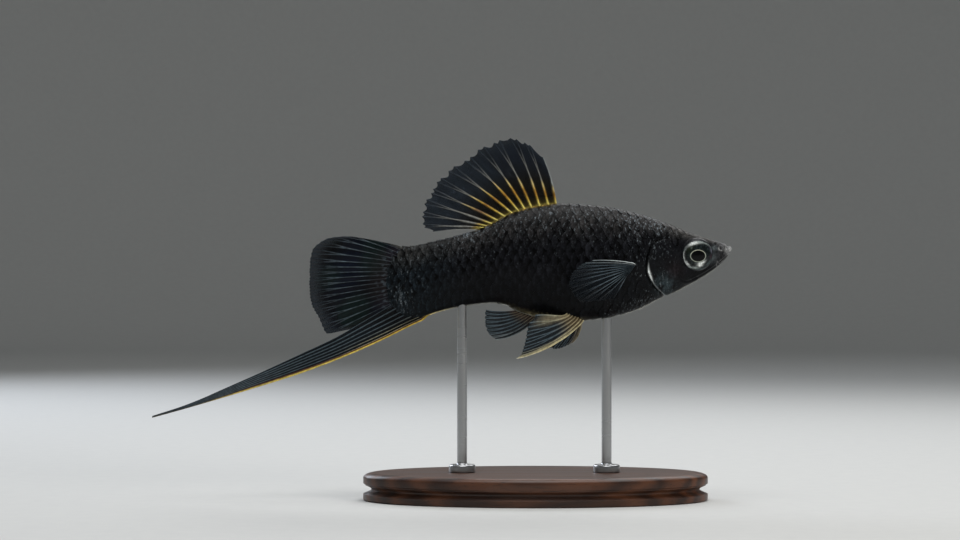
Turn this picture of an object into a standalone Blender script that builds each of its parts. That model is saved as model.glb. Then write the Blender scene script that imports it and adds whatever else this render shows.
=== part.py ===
"""A male black swordtail at life size, a still model held on a display stand.

Axes: +X is the way the fish looks, +Z is up and the fish's right side faces -Y.
The origin lies on the table, under the middle of the whole length and of the thickness.
Sizes are in millimetres. A place on the fish is (station, side, height): how far it is
behind the tip of the snout, how far to the fish's left, and how far above the snout's tip.
"""

import math

import bmesh
import bpy
import numpy as np

# Driving sizes of the fish and of its stand
MM = 0.001
OVERALL_LENGTH = 104.8
SNOUT_HEIGHT = 45.2
GAP = 0.3
SWAY_START = 30.0
SWAY_AT_TIP = 3.4

# The body: its outline from the side, half its width, and the shape of its cross-sections
BACK_LINE = (
    (0.03, 0.12), (0.2, 0.45), (0.75, 0.66), (1.4, 1.08), (3.0, 1.6), (7.5, 3.0), (13.0, 5.1),
    (17.5, 6.45), (24.0, 7.7), (31.0, 8.15), (38.0, 7.05), (45.5, 3.6), (52.5, 1.65),
    (58.8, 0.45), (61.0, 0.75), (63.6, 1.3),
)
BELLY_LINE = (
    (0.03, -0.2), (0.2, -0.55), (0.65, -1.1), (1.1, -1.9), (3.0, -3.7), (7.5, -6.5), (13.0, -9.1),
    (18.5, -11.6), (24.0, -12.75), (28.5, -13.15), (34.5, -12.5), (38.0, -11.6), (41.0, -10.2),
    (43.0, -9.9), (48.0, -10.4), (52.5, -11.4), (55.5, -12.5), (60.0, -14.9), (63.6, -16.6),
)
HALF_WIDTH = (
    (0.03, 0.5), (0.2, 1.0), (0.6, 1.5), (0.9, 1.5), (1.2, 1.65), (2.0, 2.15), (5.0, 3.1),
    (9.0, 3.9), (14.0, 4.55), (20.0, 4.85), (27.0, 4.75), (33.0, 4.3), (40.0, 3.45),
    (47.0, 2.55), (55.0, 1.65), (63.6, 0.95),
)
WIDEST_LEVEL = ((0.0, 0.5), (5.0, 0.62), (14.0, 0.58), (28.0, 0.52), (45.0, 0.5), (63.6, 0.5))
UPPER_SQUARENESS = ((0.0, 2.4), (5.0, 2.6), (12.0, 2.3), (25.0, 2.05), (63.6, 2.0))
LOWER_SQUARENESS = ((0.0, 2.3), (5.0, 2.1), (14.0, 1.9), (28.0, 2.0), (63.6, 2.0))
RING_POINTS = 28
FIRST_RING, LAST_RING = 0.03, 63.6
FINEST_STEP, COARSEST_STEP = 0.25, 1.5
STEP_GROWTH = 1.13

# Where the body is parted: behind the gill covers, at the tail, and at the root of its fin
NECK_LINE = (
    (14.6, 8.0), (15.0, 1.0), (15.5, -2.3), (15.6, -3.9), (15.2, -5.3), (14.3, -6.9), (12.9, -8.2),
    (11.0, -10.0),
)
TAIL_STATION = 46.5
TAIL_ROOT = (
    (59.6, 0.4), (60.9, -1.1), (62.2, -3.4), (62.6, -6.2), (61.8, -9.7), (60.1, -11.6),
    (57.8, -12.6), (55.5, -12.7),
)
COVER_FRONT = (
    (11.6, -7.6), (10.9, -6.2), (10.5, -4.5), (10.4, -2.4), (10.8, -0.8), (11.7, 0.3), (13.2, 0.7),
)
COVER_SHARE, RECESS_SHARE, THROAT = 0.80, 0.73, 0.9
JAW = ((-0.5, -1.15), (0.85, -1.2), (2.0, -2.25), (2.9, -3.05), (4.9, -4.3), (5.4, -5.6), (1.0, -6.0))

# The head's small parts
EYE = (6.4, -1.05)
EYE_RADIUS, EYE_HALF_DEPTH, EYE_SINK = 2.95, 1.65, 0.75
LIP_FOLD = ((0.8, 1.3), (1.0, 0.5), (1.5, -0.15), (1.85, -0.9), (2.1, -1.5))
FOLD_WIDTH, FOLD_SHARE = 0.18, 0.87
NOSTRIL = (2.5, 0.3)
NOSTRIL_RADIUS, NOSTRIL_SINK = 0.42, 0.15

# The fins. Tips and bows are (share of the rays, station, side, height) from first to last.
# A ray is a ridge on both faces of its membrane, thickest at its root.
FIN_ROOT, TAIL_FIN_ROOT = 1.0, 1.4
RAY, RAY_TIP, MEMBRANE, MARGIN = 0.9, 0.56, 0.5, 0.4
RAY_SPREAD = 0.27
DORSAL_RAYS, FAN_RAYS, SWORD_RAYS, ANAL_RAYS, PECTORAL_RAYS, PELVIC_RAYS = 13, 15, 6, 8, 10, 6
DORSAL_ROOT = ((0, 31.6), (0.25, 36.2), (0.5, 39.8), (0.75, 43.5), (1, 45.8))
DORSAL_TIPS = (
    (0, 34.0, 0, 16.6), (0.08, 37.1, 0, 19.2), (0.17, 39.6, 0.1, 20.1), (0.25, 42.7, 0.2, 19.5),
    (0.42, 47.6, 0.4, 16.2), (0.58, 52.6, 0.3, 12.5), (0.75, 54.9, 0, 8.5), (0.85, 55.7, -0.2, 5.8),
    (0.93, 55.3, -0.1, 3.8), (1, 53.9, 0, 2.9),
)
DORSAL_BOW = ((0, -0.4, 0, 0.1), (0.3, -0.4, 0.3, 0.3), (1, 0, 0, 0.1))
FAN_SHARE, SWORD_SHARE = 0.605, 0.63
FAN_TIPS = (
    (0, 71.8, 0, 2.3), (0.12, 73.9, 0, 1.5), (0.22, 75.4, 0, 0.3), (0.35, 76.1, 0.2, -2.2),
    (0.6, 76.3, 0.3, -6.6), (0.76, 75.9, 0.2, -9.6), (0.9, 74.4, 0, -12.9), (1, 72.5, 0, -15.4),
)
FAN_BOW = ((0, 0, 0, 0.35), (0.3, 0, 0, 0.15), (1, 0, 0, 0))
SWORD_UPPER = (
    (55.0, -6.0), (61.9, -10.2), (66.1, -12.75), (71.5, -15.95), (77.8, -18.95), (85.0, -22.3),
    (92.2, -25.5), (95.8, -27.1), (99.4, -28.5), (104.8, -30.25),
)
SWORD_LOWER = (
    (55.0, -12.7), (58.0, -14.05), (63.4, -16.7), (70.6, -19.8), (77.8, -22.5), (85.0, -24.8),
    (92.2, -27.0), (99.4, -29.1), (104.8, -30.6),
)
ANAL_ROOT = ((0, 35.1), (1, 39.3))
ANAL_TIPS = (
    (0, 42.7, 0, -16.35), (0.25, 43.9, 0, -15.3), (0.5, 44.5, 0, -13.9), (0.75, 44.6, 0, -12.3),
    (1, 44.6, 0, -10.9),
)
ANAL_BOW = ((0, -0.2, 0, -1.2), (1, 0, 0, -0.3))
PECTORAL_ROOT = ((17.9, -2.6), (19.0, -4.2))
PECTORAL_TIPS = (
    (0, 25.7, 8.8, -2.1), (0.15, 28.0, 9.4, -3.1), (0.45, 29.8, 9.6, -6.1), (0.75, 27.4, 9.1, -9.6),
    (1, 21.8, 7.6, -9.1),
)
PECTORAL_BOW = ((0, 0, 0.2, 0.5), (1, 0, 0.2, -0.2))
PELVIC_ROOT = ((27.1, -12.9), (30.0, -11.7))
PELVIC_RIGHT_TIPS = (
    (0, 39.0, 3.4, -19.6), (0.2, 38.1, 3.7, -18.7), (0.5, 37.4, 4.2, -16.6), (0.8, 37.0, 4.6, -14.0),
    (1, 35.5, 4.9, -11.8),
)
PELVIC_RIGHT_BOW = ((0, 0.3, 0.3, -1.9), (0.4, 0.1, 0.3, -0.8), (1, 0, 0.4, 0.3))
PELVIC_LEFT_TIPS = (
    (0, 28.7, 5.4, -17.1), (0.2, 29.9, 5.8, -17.8), (0.5, 31.8, 6.4, -18.3), (0.8, 33.8, 6.6, -17.0),
    (1, 34.8, 6.2, -14.6),
)
PELVIC_LEFT_BOW = ((0, -0.8, 0.3, -0.2), (0.4, -0.4, 0.4, -0.3), (1, 0, 0.5, 0.2))
PAIRED_LEAVE = 1.0

# The stand
BASE_LENGTH, BASE_WIDTH, BASE_HEIGHT = 62.0, 34.0, 5.0
BASE_CENTRE_X = 17.0
BASE_EDGE = 0.8
ROD_RADIUS, COLLAR_RADIUS, COLLAR_HEIGHT = 0.9, 2.4, 1.4
ROD_TOP = SNOUT_HEIGHT - 8.0
ROD_STATIONS = {"stand_rod_front": 22.6, "stand_rod_rear": 48.6}

COLOURS = {
    "skin": ((0.016, 0.017, 0.020), 0.38, 0.0),
    "gill_cover": ((0.022, 0.026, 0.030), 0.34, 0.0),
    "fin": ((0.014, 0.019, 0.026), 0.45, 0.0),
    "eye": ((0.35, 0.38, 0.38), 0.12, 0.3),
    "base": ((0.065, 0.032, 0.018), 0.42, 0.0),
    "rod": ((0.55, 0.56, 0.58), 0.28, 1.0),
}


def clear_scene():
    for obj in list(bpy.data.objects):
        bpy.data.objects.remove(obj, do_unlink=True)


def smooth(line, at):
    """The value at each station on the monotone cubic through (station, value) points."""
    station, value = np.array(line, float).T
    step = np.diff(station)
    slope = np.diff(value) / step
    product = slope[1:] * slope[:-1]
    total = np.where(product > 0, slope[1:] + slope[:-1], 1.0)
    inner = np.where(product > 0, 2 * product / total, 0.0)
    lean = np.concatenate([slope[:1], inner, slope[-1:]])
    i = np.clip(np.searchsorted(station, at) - 1, 0, len(step) - 1)
    t = (np.asarray(at, float) - station[i]) / step[i]
    start, end = value[i], value[i + 1]
    bend = (1 - t) * lean[i] - t * lean[i + 1] + (2 * t - 1) * slope[i]
    return start + t * (end - start) + t * (1 - t) * step[i] * bend


def along(rows, at):
    """Points at each share, 0 to 1, of a smooth path of (share, coordinates...) rows."""
    rows = np.array(rows, float)
    return np.stack([smooth(rows[:, (0, k)], at) for k in range(1, rows.shape[1])], axis=-1)


def placed(points):
    """Fish places in millimetres, with the tail's sway, as points of the model in metres."""
    station, side, height = np.moveaxis(np.asarray(points, float), -1, 0)
    reach = OVERALL_LENGTH - SWAY_START
    sway = SWAY_AT_TIP * (np.clip(station - SWAY_START, 0, None) / reach) ** 2
    x = OVERALL_LENGTH / 2 - station
    return np.stack([x, side + sway, SNOUT_HEIGHT + height], axis=-1) * MM


def section(station):
    """A cross-section: its widest level, its rise, its fall, half its width, its squareness."""
    top, bottom = smooth(BACK_LINE, station), smooth(BELLY_LINE, station)
    level = bottom + (top - bottom) * smooth(WIDEST_LEVEL, station)
    square = smooth(UPPER_SQUARENESS, station), smooth(LOWER_SQUARENESS, station)
    return level, top - level, level - bottom, smooth(HALF_WIDTH, station), square


def flank(station, height, side):
    """The place on the body's side at a station and height, and the direction out of it."""
    def half_width(at, level):
        widest, rise, fall, wide, (upper, lower) = section(at)
        above = level >= widest
        power = np.where(above, upper, lower)
        share = np.clip(np.abs(level - widest) / np.where(above, rise, fall), 0, 1)
        return wide * (1 - share ** power) ** (1 / power)
    station, height = np.asarray(station, float), np.asarray(height, float)
    wide = half_width(station, height)
    step = 0.05
    taper = (half_width(station + step, height) - half_width(station - step, height)) / (2 * step)
    curve = (half_width(station, height + step) - half_width(station, height - step)) / (2 * step)
    out = np.stack([-taper, np.full_like(wide, side), -curve], axis=-1)
    out /= np.linalg.norm(out, axis=-1, keepdims=True)
    return np.stack([station, side * wide, height], axis=-1), out


def material(name):
    colour, roughness, metallic = COLOURS[name]
    made = bpy.data.materials.get(name) or bpy.data.materials.new(name)
    made.use_nodes = True
    shader = made.node_tree.nodes["Principled BSDF"]
    shader.inputs["Base Color"].default_value = (*colour, 1.0)
    shader.inputs["Roughness"].default_value = roughness
    shader.inputs["Metallic"].default_value = metallic
    return made


def mesh_object(name, points, faces, collection, finish=None):
    """A mesh of built faces. One with a finish is a piece, any other is a cutter."""
    mesh = bpy.data.meshes.new(name)
    mesh.from_pydata(np.asarray(points).reshape(-1, 3).tolist(), [], faces)
    obj = bpy.data.objects.new(name, mesh)
    collection.objects.link(obj)
    return dressed(obj, finish)


def dressed(obj, finish):
    """Gives a piece its material and smooth shading, and marks a cutter as one."""
    work = bmesh.new()
    work.from_mesh(obj.data)
    bmesh.ops.recalc_face_normals(work, faces=work.faces)
    for face in work.faces:
        face.smooth = finish is not None
    work.to_mesh(obj.data)
    work.free()
    if finish:
        obj.data.materials.append(material(finish))
    else:
        obj.hide_render = True
        obj.display_type = "WIRE"
    return obj


def relinked(name, collection):
    """The primitive just added, named and moved to its own collection."""
    obj = bpy.context.active_object
    obj.name = obj.data.name = name
    for owner in list(obj.users_collection):
        owner.objects.unlink(obj)
    collection.objects.link(obj)
    return obj


def combine(obj, other, operation):
    modifier = obj.modifiers.new(f"{operation.title()} {other.name}", "BOOLEAN")
    modifier.operation = operation
    modifier.object = other
    return obj


def body_stations():
    """Stations of the body's rings, close at the snout and wider apart along the trunk."""
    stations, step = [FIRST_RING], FINEST_STEP
    while stations[-1] < LAST_RING - step:
        stations.append(stations[-1] + step)
        step = min(step * STEP_GROWTH, COARSEST_STEP)
    return np.array([*stations, LAST_RING])


def body(name, collection, finish=None, share=1.0, swell=0.0):
    """The body from snout to tail as one closed loft of half-superellipse rings.

    share shrinks each ring about its middle, and swell makes the whole body fatter.
    """
    station = body_stations()[:, None]
    level, rise, fall, wide, (upper, lower) = section(station)
    turn = np.linspace(0, 2 * math.pi, RING_POINTS, endpoint=False)[None, :]
    above = np.sin(turn) >= 0
    power = 2 / np.where(above, upper, lower)
    reach = np.where(above, rise, fall) * share + swell
    side = (wide * share + swell) * np.sign(np.cos(turn)) * np.abs(np.cos(turn)) ** power
    height = level + reach * np.sign(np.sin(turn)) * np.abs(np.sin(turn)) ** power
    place = np.broadcast_to(station, side.shape).copy()
    place[0] -= swell
    place[-1] += swell
    count = len(station)
    index = np.arange(count * RING_POINTS).reshape(count, RING_POINTS)
    turned = np.roll(index, -1, axis=1)
    sides = np.stack([index[:-1], turned[:-1], turned[1:], index[1:]], axis=-1)
    faces = [*sides.reshape(-1, 4).tolist(), index[0].tolist(), index[-1].tolist()]
    rings = np.stack([place, side, height], axis=-1)
    return mesh_object(name, placed(rings), faces, collection, finish)


def offset_outline(outline, distance):
    """A closed outline moved outwards by a distance, with mitred corners."""
    points = np.array(outline, float)
    ahead = np.roll(points, -1, axis=0)
    area = np.sum(points[:, 0] * ahead[:, 1] - ahead[:, 0] * points[:, 1])
    edge = ahead - points
    out = np.stack([edge[:, 1], -edge[:, 0]], axis=1) / np.hypot(*edge.T)[:, None]
    out *= np.sign(area)
    before = np.roll(out, 1, axis=0)
    return points + distance * (before + out) / (1 + np.sum(before * out, axis=1))[:, None]


def prism(name, outline, collection, side=(-12.0, 12.0)):
    """A cutter: an outline of (station, height) points, carried across the fish."""
    flat = np.asarray(outline, float)
    count = len(flat)
    points = np.concatenate([np.insert(flat, 1, y, axis=1) for y in side])
    points[:, 0] = OVERALL_LENGTH / 2 - points[:, 0]
    points[:, 2] += SNOUT_HEIGHT
    walls = [[i, (i + 1) % count, count + (i + 1) % count, count + i] for i in range(count)]
    caps = [list(range(count)), list(range(count, 2 * count))]
    return mesh_object(name, points * MM, caps + walls, collection)


def shifted(line, distance):
    """An open line of (station, height) points moved towards the tail."""
    return [(station + distance, height) for station, height in line]


def make_flesh(parts, cutters):
    """Head, trunk and tail stalk: the body parted by the neck line and the tail's two lines."""
    half = GAP / 2
    ends = {
        "head": [(-5.0, 12.0), *shifted(NECK_LINE, -half), (11.0, -20.0), (-5.0, -20.0)],
        "trunk": [
            *shifted(NECK_LINE, half), (11.0, -20.0), (TAIL_STATION - half, -20.0),
            (TAIL_STATION - half, 12.0),
        ],
        "tail_stalk": [
            (TAIL_STATION + half, 12.0), (58.0, 2.5), *TAIL_ROOT, (53.0, -13.5), (52.0, -20.0),
            (TAIL_STATION + half, -20.0),
        ],
    }
    made = {}
    for name, outline in ends.items():
        cutter = prism(f"{name}_outline", outline, cutters)
        made[name] = combine(body(name, parts, "skin"), cutter, "INTERSECT")
    return made


def make_mouth(head, parts, cutters):
    """The lower jaw, below the line of the mouth, and the fold behind the upper lip."""
    outline = prism("jaw_outline", offset_outline(JAW, -GAP / 2), cutters)
    combine(body("lower_jaw", parts, "skin"), outline, "INTERSECT")
    combine(head, prism("mouth_cut", offset_outline(JAW, GAP / 2), cutters), "DIFFERENCE")
    band = [*shifted(LIP_FOLD, -FOLD_WIDTH / 2), *reversed(shifted(LIP_FOLD, FOLD_WIDTH / 2))]
    fold = prism("lip_fold", band, cutters)
    combine(fold, body("fold_core", cutters, share=FOLD_SHARE), "DIFFERENCE")
    combine(head, fold, "DIFFERENCE")


def make_gill_covers(head, parts, cutters):
    """Each gill cover is a plate of the cheek's own curve, lying in a recess of the head."""
    plate_core = body("cover_core", cutters, share=COVER_SHARE)
    recess_core = body("recess_core", cutters, share=RECESS_SHARE)
    outline = [*shifted(NECK_LINE[1:7], -GAP / 2), *COVER_FRONT]
    for name, side in (("right", -1), ("left", 1)):
        reach = sorted((side * THROAT, side * 12.0))
        room = sorted((side * (THROAT - GAP), side * 14.0))
        recess = prism(f"recess_{name}", offset_outline(outline, GAP), cutters, room)
        combine(recess, recess_core, "DIFFERENCE")
        combine(head, recess, "DIFFERENCE")
        cover = body(f"gill_cover_{name}", parts, "gill_cover")
        combine(cover, prism(f"cover_{name}", outline, cutters, reach), "INTERSECT")
        combine(cover, plate_core, "DIFFERENCE")


def eyeball(name, spot, side, sink, radii, collection, finish=None, segments=20):
    """A ball set into the body's side. Its half depth points straight out of the skin."""
    bpy.ops.mesh.primitive_uv_sphere_add(segments=segments, ring_count=segments // 2)
    obj = relinked(name, collection)
    place, out = flank(*spot, side)
    up = np.array([0.0, 0.0, 1.0]) - out * out[2]
    up /= np.linalg.norm(up)
    frame = np.stack([np.cross(up, out), up, out])
    count = len(obj.data.vertices)
    ball = np.empty(count * 3)
    obj.data.vertices.foreach_get("co", ball)
    ball = place - out * sink + (ball.reshape(count, 3) * radii) @ frame
    obj.data.vertices.foreach_set("co", placed(ball).ravel())
    return dressed(obj, finish)


def make_eyes_and_nostrils(head, parts, cutters):
    """A flattened eyeball in its socket and a nostril pit, on both sides of the head."""
    radii = np.array([EYE_RADIUS, EYE_RADIUS, EYE_HALF_DEPTH])
    pit = [NOSTRIL_RADIUS] * 3
    for name, side in (("right", -1), ("left", 1)):
        eyeball(f"eye_{name}", EYE, side, EYE_SINK, radii, parts, "eye")
        socket = eyeball(f"socket_{name}", EYE, side, EYE_SINK, radii + GAP, cutters)
        combine(head, socket, "DIFFERENCE")
        nostril = eyeball(f"nostril_{name}", NOSTRIL, side, NOSTRIL_SINK, pit, cutters, None, 10)
        combine(head, nostril, "DIFFERENCE")


def fan(root, tip, bow, rows, leave=None):
    """A grid of fish places, ray after ray, each a cubic curve from its root to its tip.

    A ray sets out towards its tip, leans to its leave vector if the fin has one, and is
    pulled sideways by its bow.
    """
    reach = (tip - root) / 3
    first = root + (reach + bow if leave is None else (reach + bow) / 2 + leave)
    second = tip + bow - reach
    v = np.linspace(0, 1, rows)[None, :, None]
    root, first, second, tip = (end[:, None, :] for end in (root, first, second, tip))
    return (1 - v) ** 3 * root + 3 * v * (1 - v) * ((1 - v) * first + v * second) + v ** 3 * tip


def ray_columns(rays):
    """The columns of a fin: the foot, crest and foot of each ray, with a crest at both edges.

    Gives each column's share of the fin's spread, and whether it is a crest.
    """
    step = 1 / (rays - 1)
    share = step * (np.arange(rays)[:, None] + RAY_SPREAD * np.array([-1, 0, 1])).ravel()
    crest = np.tile([False, True, False], rays)
    return share[1:-1], crest[1:-1]


def notched(root, tip, crest, depth):
    """The tips, with the membrane drawn back between the rays by a depth."""
    back = (root - tip) / np.linalg.norm(root - tip, axis=-1, keepdims=True)
    return tip + back * np.where(crest, 0, depth)[:, None]


def fin(name, grid, crest, root_thickness, collection):
    """A closed fin from a grid of rays: triangles alike on both faces, thick at the root."""
    columns, rows = grid.shape[:2]
    index = np.arange(columns * rows).reshape(columns, rows)
    a, b, c, d = index[:-1, :-1], index[1:, :-1], index[1:, 1:], index[:-1, 1:]
    faces = np.concatenate([np.stack([a, b, c], -1), np.stack([a, c, d], -1)]).reshape(-1, 3)
    obj = mesh_object(name, placed(grid), faces.tolist(), collection, "fin")
    outwards = np.linspace(0, 1, rows)
    ridge = smooth(((0, root_thickness), (0.35, RAY), (1, RAY_TIP)), outwards)
    between = smooth(((0, root_thickness - 0.1), (0.3, MEMBRANE), (0.8, MEMBRANE), (1, MARGIN)), outwards)
    group = obj.vertex_groups.new(name="thickness")
    for column, is_crest in zip(index, crest):
        for vertex, thickness in zip(column, ridge if is_crest else between):
            group.add([int(vertex)], float(thickness / root_thickness), "REPLACE")
    solidify = obj.modifiers.new("Solidify", "SOLIDIFY")
    solidify.thickness = root_thickness * MM
    solidify.offset = 0.0
    solidify.vertex_group = group.name
    return obj


def on_ridge(line, root, lift, share):
    """Fin roots along the back or the belly, a little off it."""
    station = smooth(root, share)
    return np.stack([station, 0 * station, smooth(line, station) + lift], axis=-1)


def on_tail_root(share):
    """Fin roots along the end of the tail stalk, by their share of its whole length."""
    points = np.array(TAIL_ROOT, float)
    edge = np.diff(points, axis=0)
    out = np.stack([-edge[:, 1], edge[:, 0]], axis=1) / np.hypot(*edge.T)[:, None]
    corner = np.concatenate([out[:1], out[1:] + out[:-1], out[-1:]])
    points += GAP * corner / np.hypot(*corner.T)[:, None]
    length = np.concatenate([[0], np.cumsum(np.hypot(*np.diff(points, axis=0).T))])
    length /= length[-1]
    station, height = (np.interp(share, length, column) for column in points.T)
    return np.stack([station, 0 * station, height], axis=-1)


def make_middle_fins(parts):
    """Dorsal fin, tail fin and anal fin, all in the fish's middle plane."""
    dorsal, dorsal_crest = ray_columns(DORSAL_RAYS)
    tail, tail_crest = ray_columns(FAN_RAYS)
    anal, anal_crest = ray_columns(ANAL_RAYS)
    back = on_ridge(BACK_LINE, DORSAL_ROOT, GAP, dorsal)
    stalk = on_tail_root(tail * FAN_SHARE)
    belly = on_ridge(BELLY_LINE, ANAL_ROOT, -GAP, anal)
    kinds = (
        ("dorsal_fin", dorsal, dorsal_crest, back, DORSAL_TIPS, DORSAL_BOW, 0.5, 7, FIN_ROOT),
        ("tail_fin", tail, tail_crest, stalk, FAN_TIPS, FAN_BOW, 0.25, 7, TAIL_FIN_ROOT),
        ("anal_fin", anal, anal_crest, belly, ANAL_TIPS, ANAL_BOW, 0.2, 6, FIN_ROOT),
    )
    for name, share, crest, root, tips, bow, notch, rows, thickness in kinds:
        tip = notched(root, along(tips, share), crest, notch)
        fin(name, fan(root, tip, along(bow, share), rows), crest, thickness, parts)


def make_sword(parts):
    """The sword: rays that run on from the tail's root and draw together to one point."""
    columns, crest = ray_columns(SWORD_RAYS)
    share = columns[:, None]
    v = np.linspace(0, 1, 18)[None, :]
    root = on_tail_root(SWORD_SHARE + (1 - SWORD_SHARE) * columns)[:, None, :]
    station = root[..., 0] + (OVERALL_LENGTH - root[..., 0]) * v
    upper, lower = smooth(SWORD_UPPER, station), smooth(SWORD_LOWER, station)
    start = (root[..., 2] - upper[:, :1]) / (lower[:, :1] - upper[:, :1])
    depth = share + (start - share) * (1 - v) ** 3
    grid = np.stack([station, 0 * station, upper + (lower - upper) * depth], axis=-1)
    fin("sword", grid, crest, TAIL_FIN_ROOT, parts)


def make_paired_fins(parts):
    """Pectoral fins behind the gill covers, and pelvic fins under the belly."""
    pectoral = ((PECTORAL_TIPS, PECTORAL_BOW),) * 2
    pelvic = ((PELVIC_RIGHT_TIPS, PELVIC_RIGHT_BOW), (PELVIC_LEFT_TIPS, PELVIC_LEFT_BOW))
    kinds = (
        ("pectoral_fin", PECTORAL_ROOT, PECTORAL_RAYS, 8, pectoral),
        ("pelvic_fin", PELVIC_ROOT, PELVIC_RAYS, 7, pelvic),
    )
    for name, line, rays, rows, sides in kinds:
        share, crest = ray_columns(rays)
        station, height = (start + (end - start) * share for start, end in zip(*line))
        for side_name, side, (tips, bow) in zip(("right", "left"), (-1, 1), sides):
            root, out = flank(station, height, side)
            root += out * GAP
            mirror = np.array([1, side, 1])
            tip = notched(root, along(tips, share) * mirror, crest, 0.25)
            grid = fan(root, tip, along(bow, share) * mirror, rows, out * PAIRED_LEAVE)
            fin(f"{name}_{side_name}", grid, crest, FIN_ROOT, parts)


def make_stand(parts, cutters):
    """An oval base and two turned rods, whose tops follow the belly."""
    bpy.ops.mesh.primitive_cylinder_add(vertices=48, radius=0.5, depth=1.0)
    base = relinked("stand_base", parts)
    for vertex in base.data.vertices:
        x, y, z = vertex.co
        vertex.co = (
            (x * BASE_LENGTH + BASE_CENTRE_X) * MM, y * BASE_WIDTH * MM, (z + 0.5) * BASE_HEIGHT * MM
        )
    base.data.materials.append(material("base"))
    bevel = base.modifiers.new("Bevel", "BEVEL")
    bevel.width = BASE_EDGE * MM
    bevel.segments = 2
    bevel.limit_method = "ANGLE"
    clearance = body("body_clearance", cutters, swell=GAP)
    for name, station in ROD_STATIONS.items():
        combine(make_rod(name, station, parts), clearance, "DIFFERENCE")


def make_rod(name, station, parts):
    """A turned rod with a collar at its foot."""
    foot = BASE_HEIGHT + GAP
    profile = (
        (0, ROD_TOP), (ROD_RADIUS, ROD_TOP), (ROD_RADIUS, foot + COLLAR_HEIGHT),
        (COLLAR_RADIUS - 0.5, foot + COLLAR_HEIGHT), (COLLAR_RADIUS, foot + COLLAR_HEIGHT - 0.5),
        (COLLAR_RADIUS, foot), (0, foot),
    )
    mesh = bpy.data.meshes.new(name)
    points = [(radius * MM, 0, height * MM) for radius, height in profile]
    mesh.from_pydata(points, [(i, i + 1) for i in range(len(points) - 1)], [])
    rod = bpy.data.objects.new(name, mesh)
    parts.objects.link(rod)
    mesh.materials.append(material("rod"))
    x, y, _ = placed((station, 0, 0))
    rod.location = (x, y, 0)
    screw = rod.modifiers.new("Screw", "SCREW")
    screw.steps = screw.render_steps = 20
    screw.use_merge_vertices = True
    screw.merge_threshold = 0.00001
    screw.use_normal_calculate = True
    return rod


def main():
    clear_scene()
    parts = bpy.data.collections.new("Black swordtail")
    cutters = bpy.data.collections.new("Cutters")
    for collection in (parts, cutters):
        bpy.context.scene.collection.children.link(collection)
    head = make_flesh(parts, cutters)["head"]
    make_gill_covers(head, parts, cutters)
    make_mouth(head, parts, cutters)
    make_eyes_and_nostrils(head, parts, cutters)
    make_middle_fins(parts)
    make_sword(parts)
    make_paired_fins(parts)
    make_stand(parts, cutters)


main()
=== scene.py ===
"""The looks of a male black swordtail at life size, held still on a display stand.

Axes as in the solids: +X is the way the fish looks, +Z is up, its right side faces -Y.
Sizes are in millimetres and turned to metres when a mesh is made. A place on the fish is
(station, side, height): how far it is behind the tip of the snout, how far to the fish's
left, and how far above the snout's tip. The girth of a place on the body runs from 0 to 4
round its cross-section: 0 under the belly, 1 at the right side's widest, 2 on the back,
3 at the left side's widest.
"""

import math

import bpy
import numpy as np
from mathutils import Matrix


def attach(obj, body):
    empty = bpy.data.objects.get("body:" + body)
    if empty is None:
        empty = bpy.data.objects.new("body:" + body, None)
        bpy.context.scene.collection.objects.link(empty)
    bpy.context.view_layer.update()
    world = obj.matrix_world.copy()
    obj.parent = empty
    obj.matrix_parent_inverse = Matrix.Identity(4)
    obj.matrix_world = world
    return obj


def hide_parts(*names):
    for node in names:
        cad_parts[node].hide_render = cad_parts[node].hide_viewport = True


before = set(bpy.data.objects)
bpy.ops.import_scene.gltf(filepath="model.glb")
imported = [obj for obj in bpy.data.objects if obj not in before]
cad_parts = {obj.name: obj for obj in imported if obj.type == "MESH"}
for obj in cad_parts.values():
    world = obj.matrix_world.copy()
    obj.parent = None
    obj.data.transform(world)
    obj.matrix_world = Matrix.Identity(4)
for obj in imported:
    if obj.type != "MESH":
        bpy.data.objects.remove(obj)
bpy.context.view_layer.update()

MM = 0.001
OVERALL_LENGTH = 104.8
SNOUT_HEIGHT = 45.2
SWAY_START, SWAY_AT_TIP = 30.0, 3.4

# The body: its outline from the side, half its width, and the shape of its cross-sections
BACK_LINE = (
    (0.03, 0.12), (0.2, 0.45), (0.75, 0.66), (1.4, 1.08), (3.0, 1.6), (7.5, 3.0), (13.0, 5.1),
    (17.5, 6.45), (24.0, 7.7), (31.0, 8.15), (38.0, 7.05), (45.5, 3.6), (52.5, 1.65),
    (58.8, 0.45), (61.0, 0.75), (63.6, 1.3),
)
BELLY_LINE = (
    (0.03, -0.2), (0.2, -0.55), (0.65, -1.1), (1.1, -1.9), (3.0, -3.7), (7.5, -6.5), (13.0, -9.1),
    (18.5, -11.6), (24.0, -12.75), (28.5, -13.15), (34.5, -12.5), (38.0, -11.6), (41.0, -10.2),
    (43.0, -9.9), (48.0, -10.4), (52.5, -11.4), (55.5, -12.5), (60.0, -14.9), (63.6, -16.6),
)
HALF_WIDTH = (
    (0.03, 0.5), (0.2, 1.0), (0.6, 1.5), (0.9, 1.5), (1.2, 1.65), (2.0, 2.15), (5.0, 3.1),
    (9.0, 3.9), (14.0, 4.55), (20.0, 4.85), (27.0, 4.75), (33.0, 4.3), (40.0, 3.45),
    (47.0, 2.55), (55.0, 1.65), (63.6, 0.95),
)
WIDEST_LEVEL = ((0.0, 0.5), (5.0, 0.62), (14.0, 0.58), (28.0, 0.52), (45.0, 0.5), (63.6, 0.5))
UPPER_SQUARENESS = ((0.0, 2.4), (5.0, 2.6), (12.0, 2.3), (25.0, 2.05), (63.6, 2.0))
LOWER_SQUARENESS = ((0.0, 2.3), (5.0, 2.1), (14.0, 1.9), (28.0, 2.0), (63.6, 2.0))
FIRST_STATION, LAST_STATION, SNOUT_CAP = 0.03, 63.6, 0.06

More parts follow.
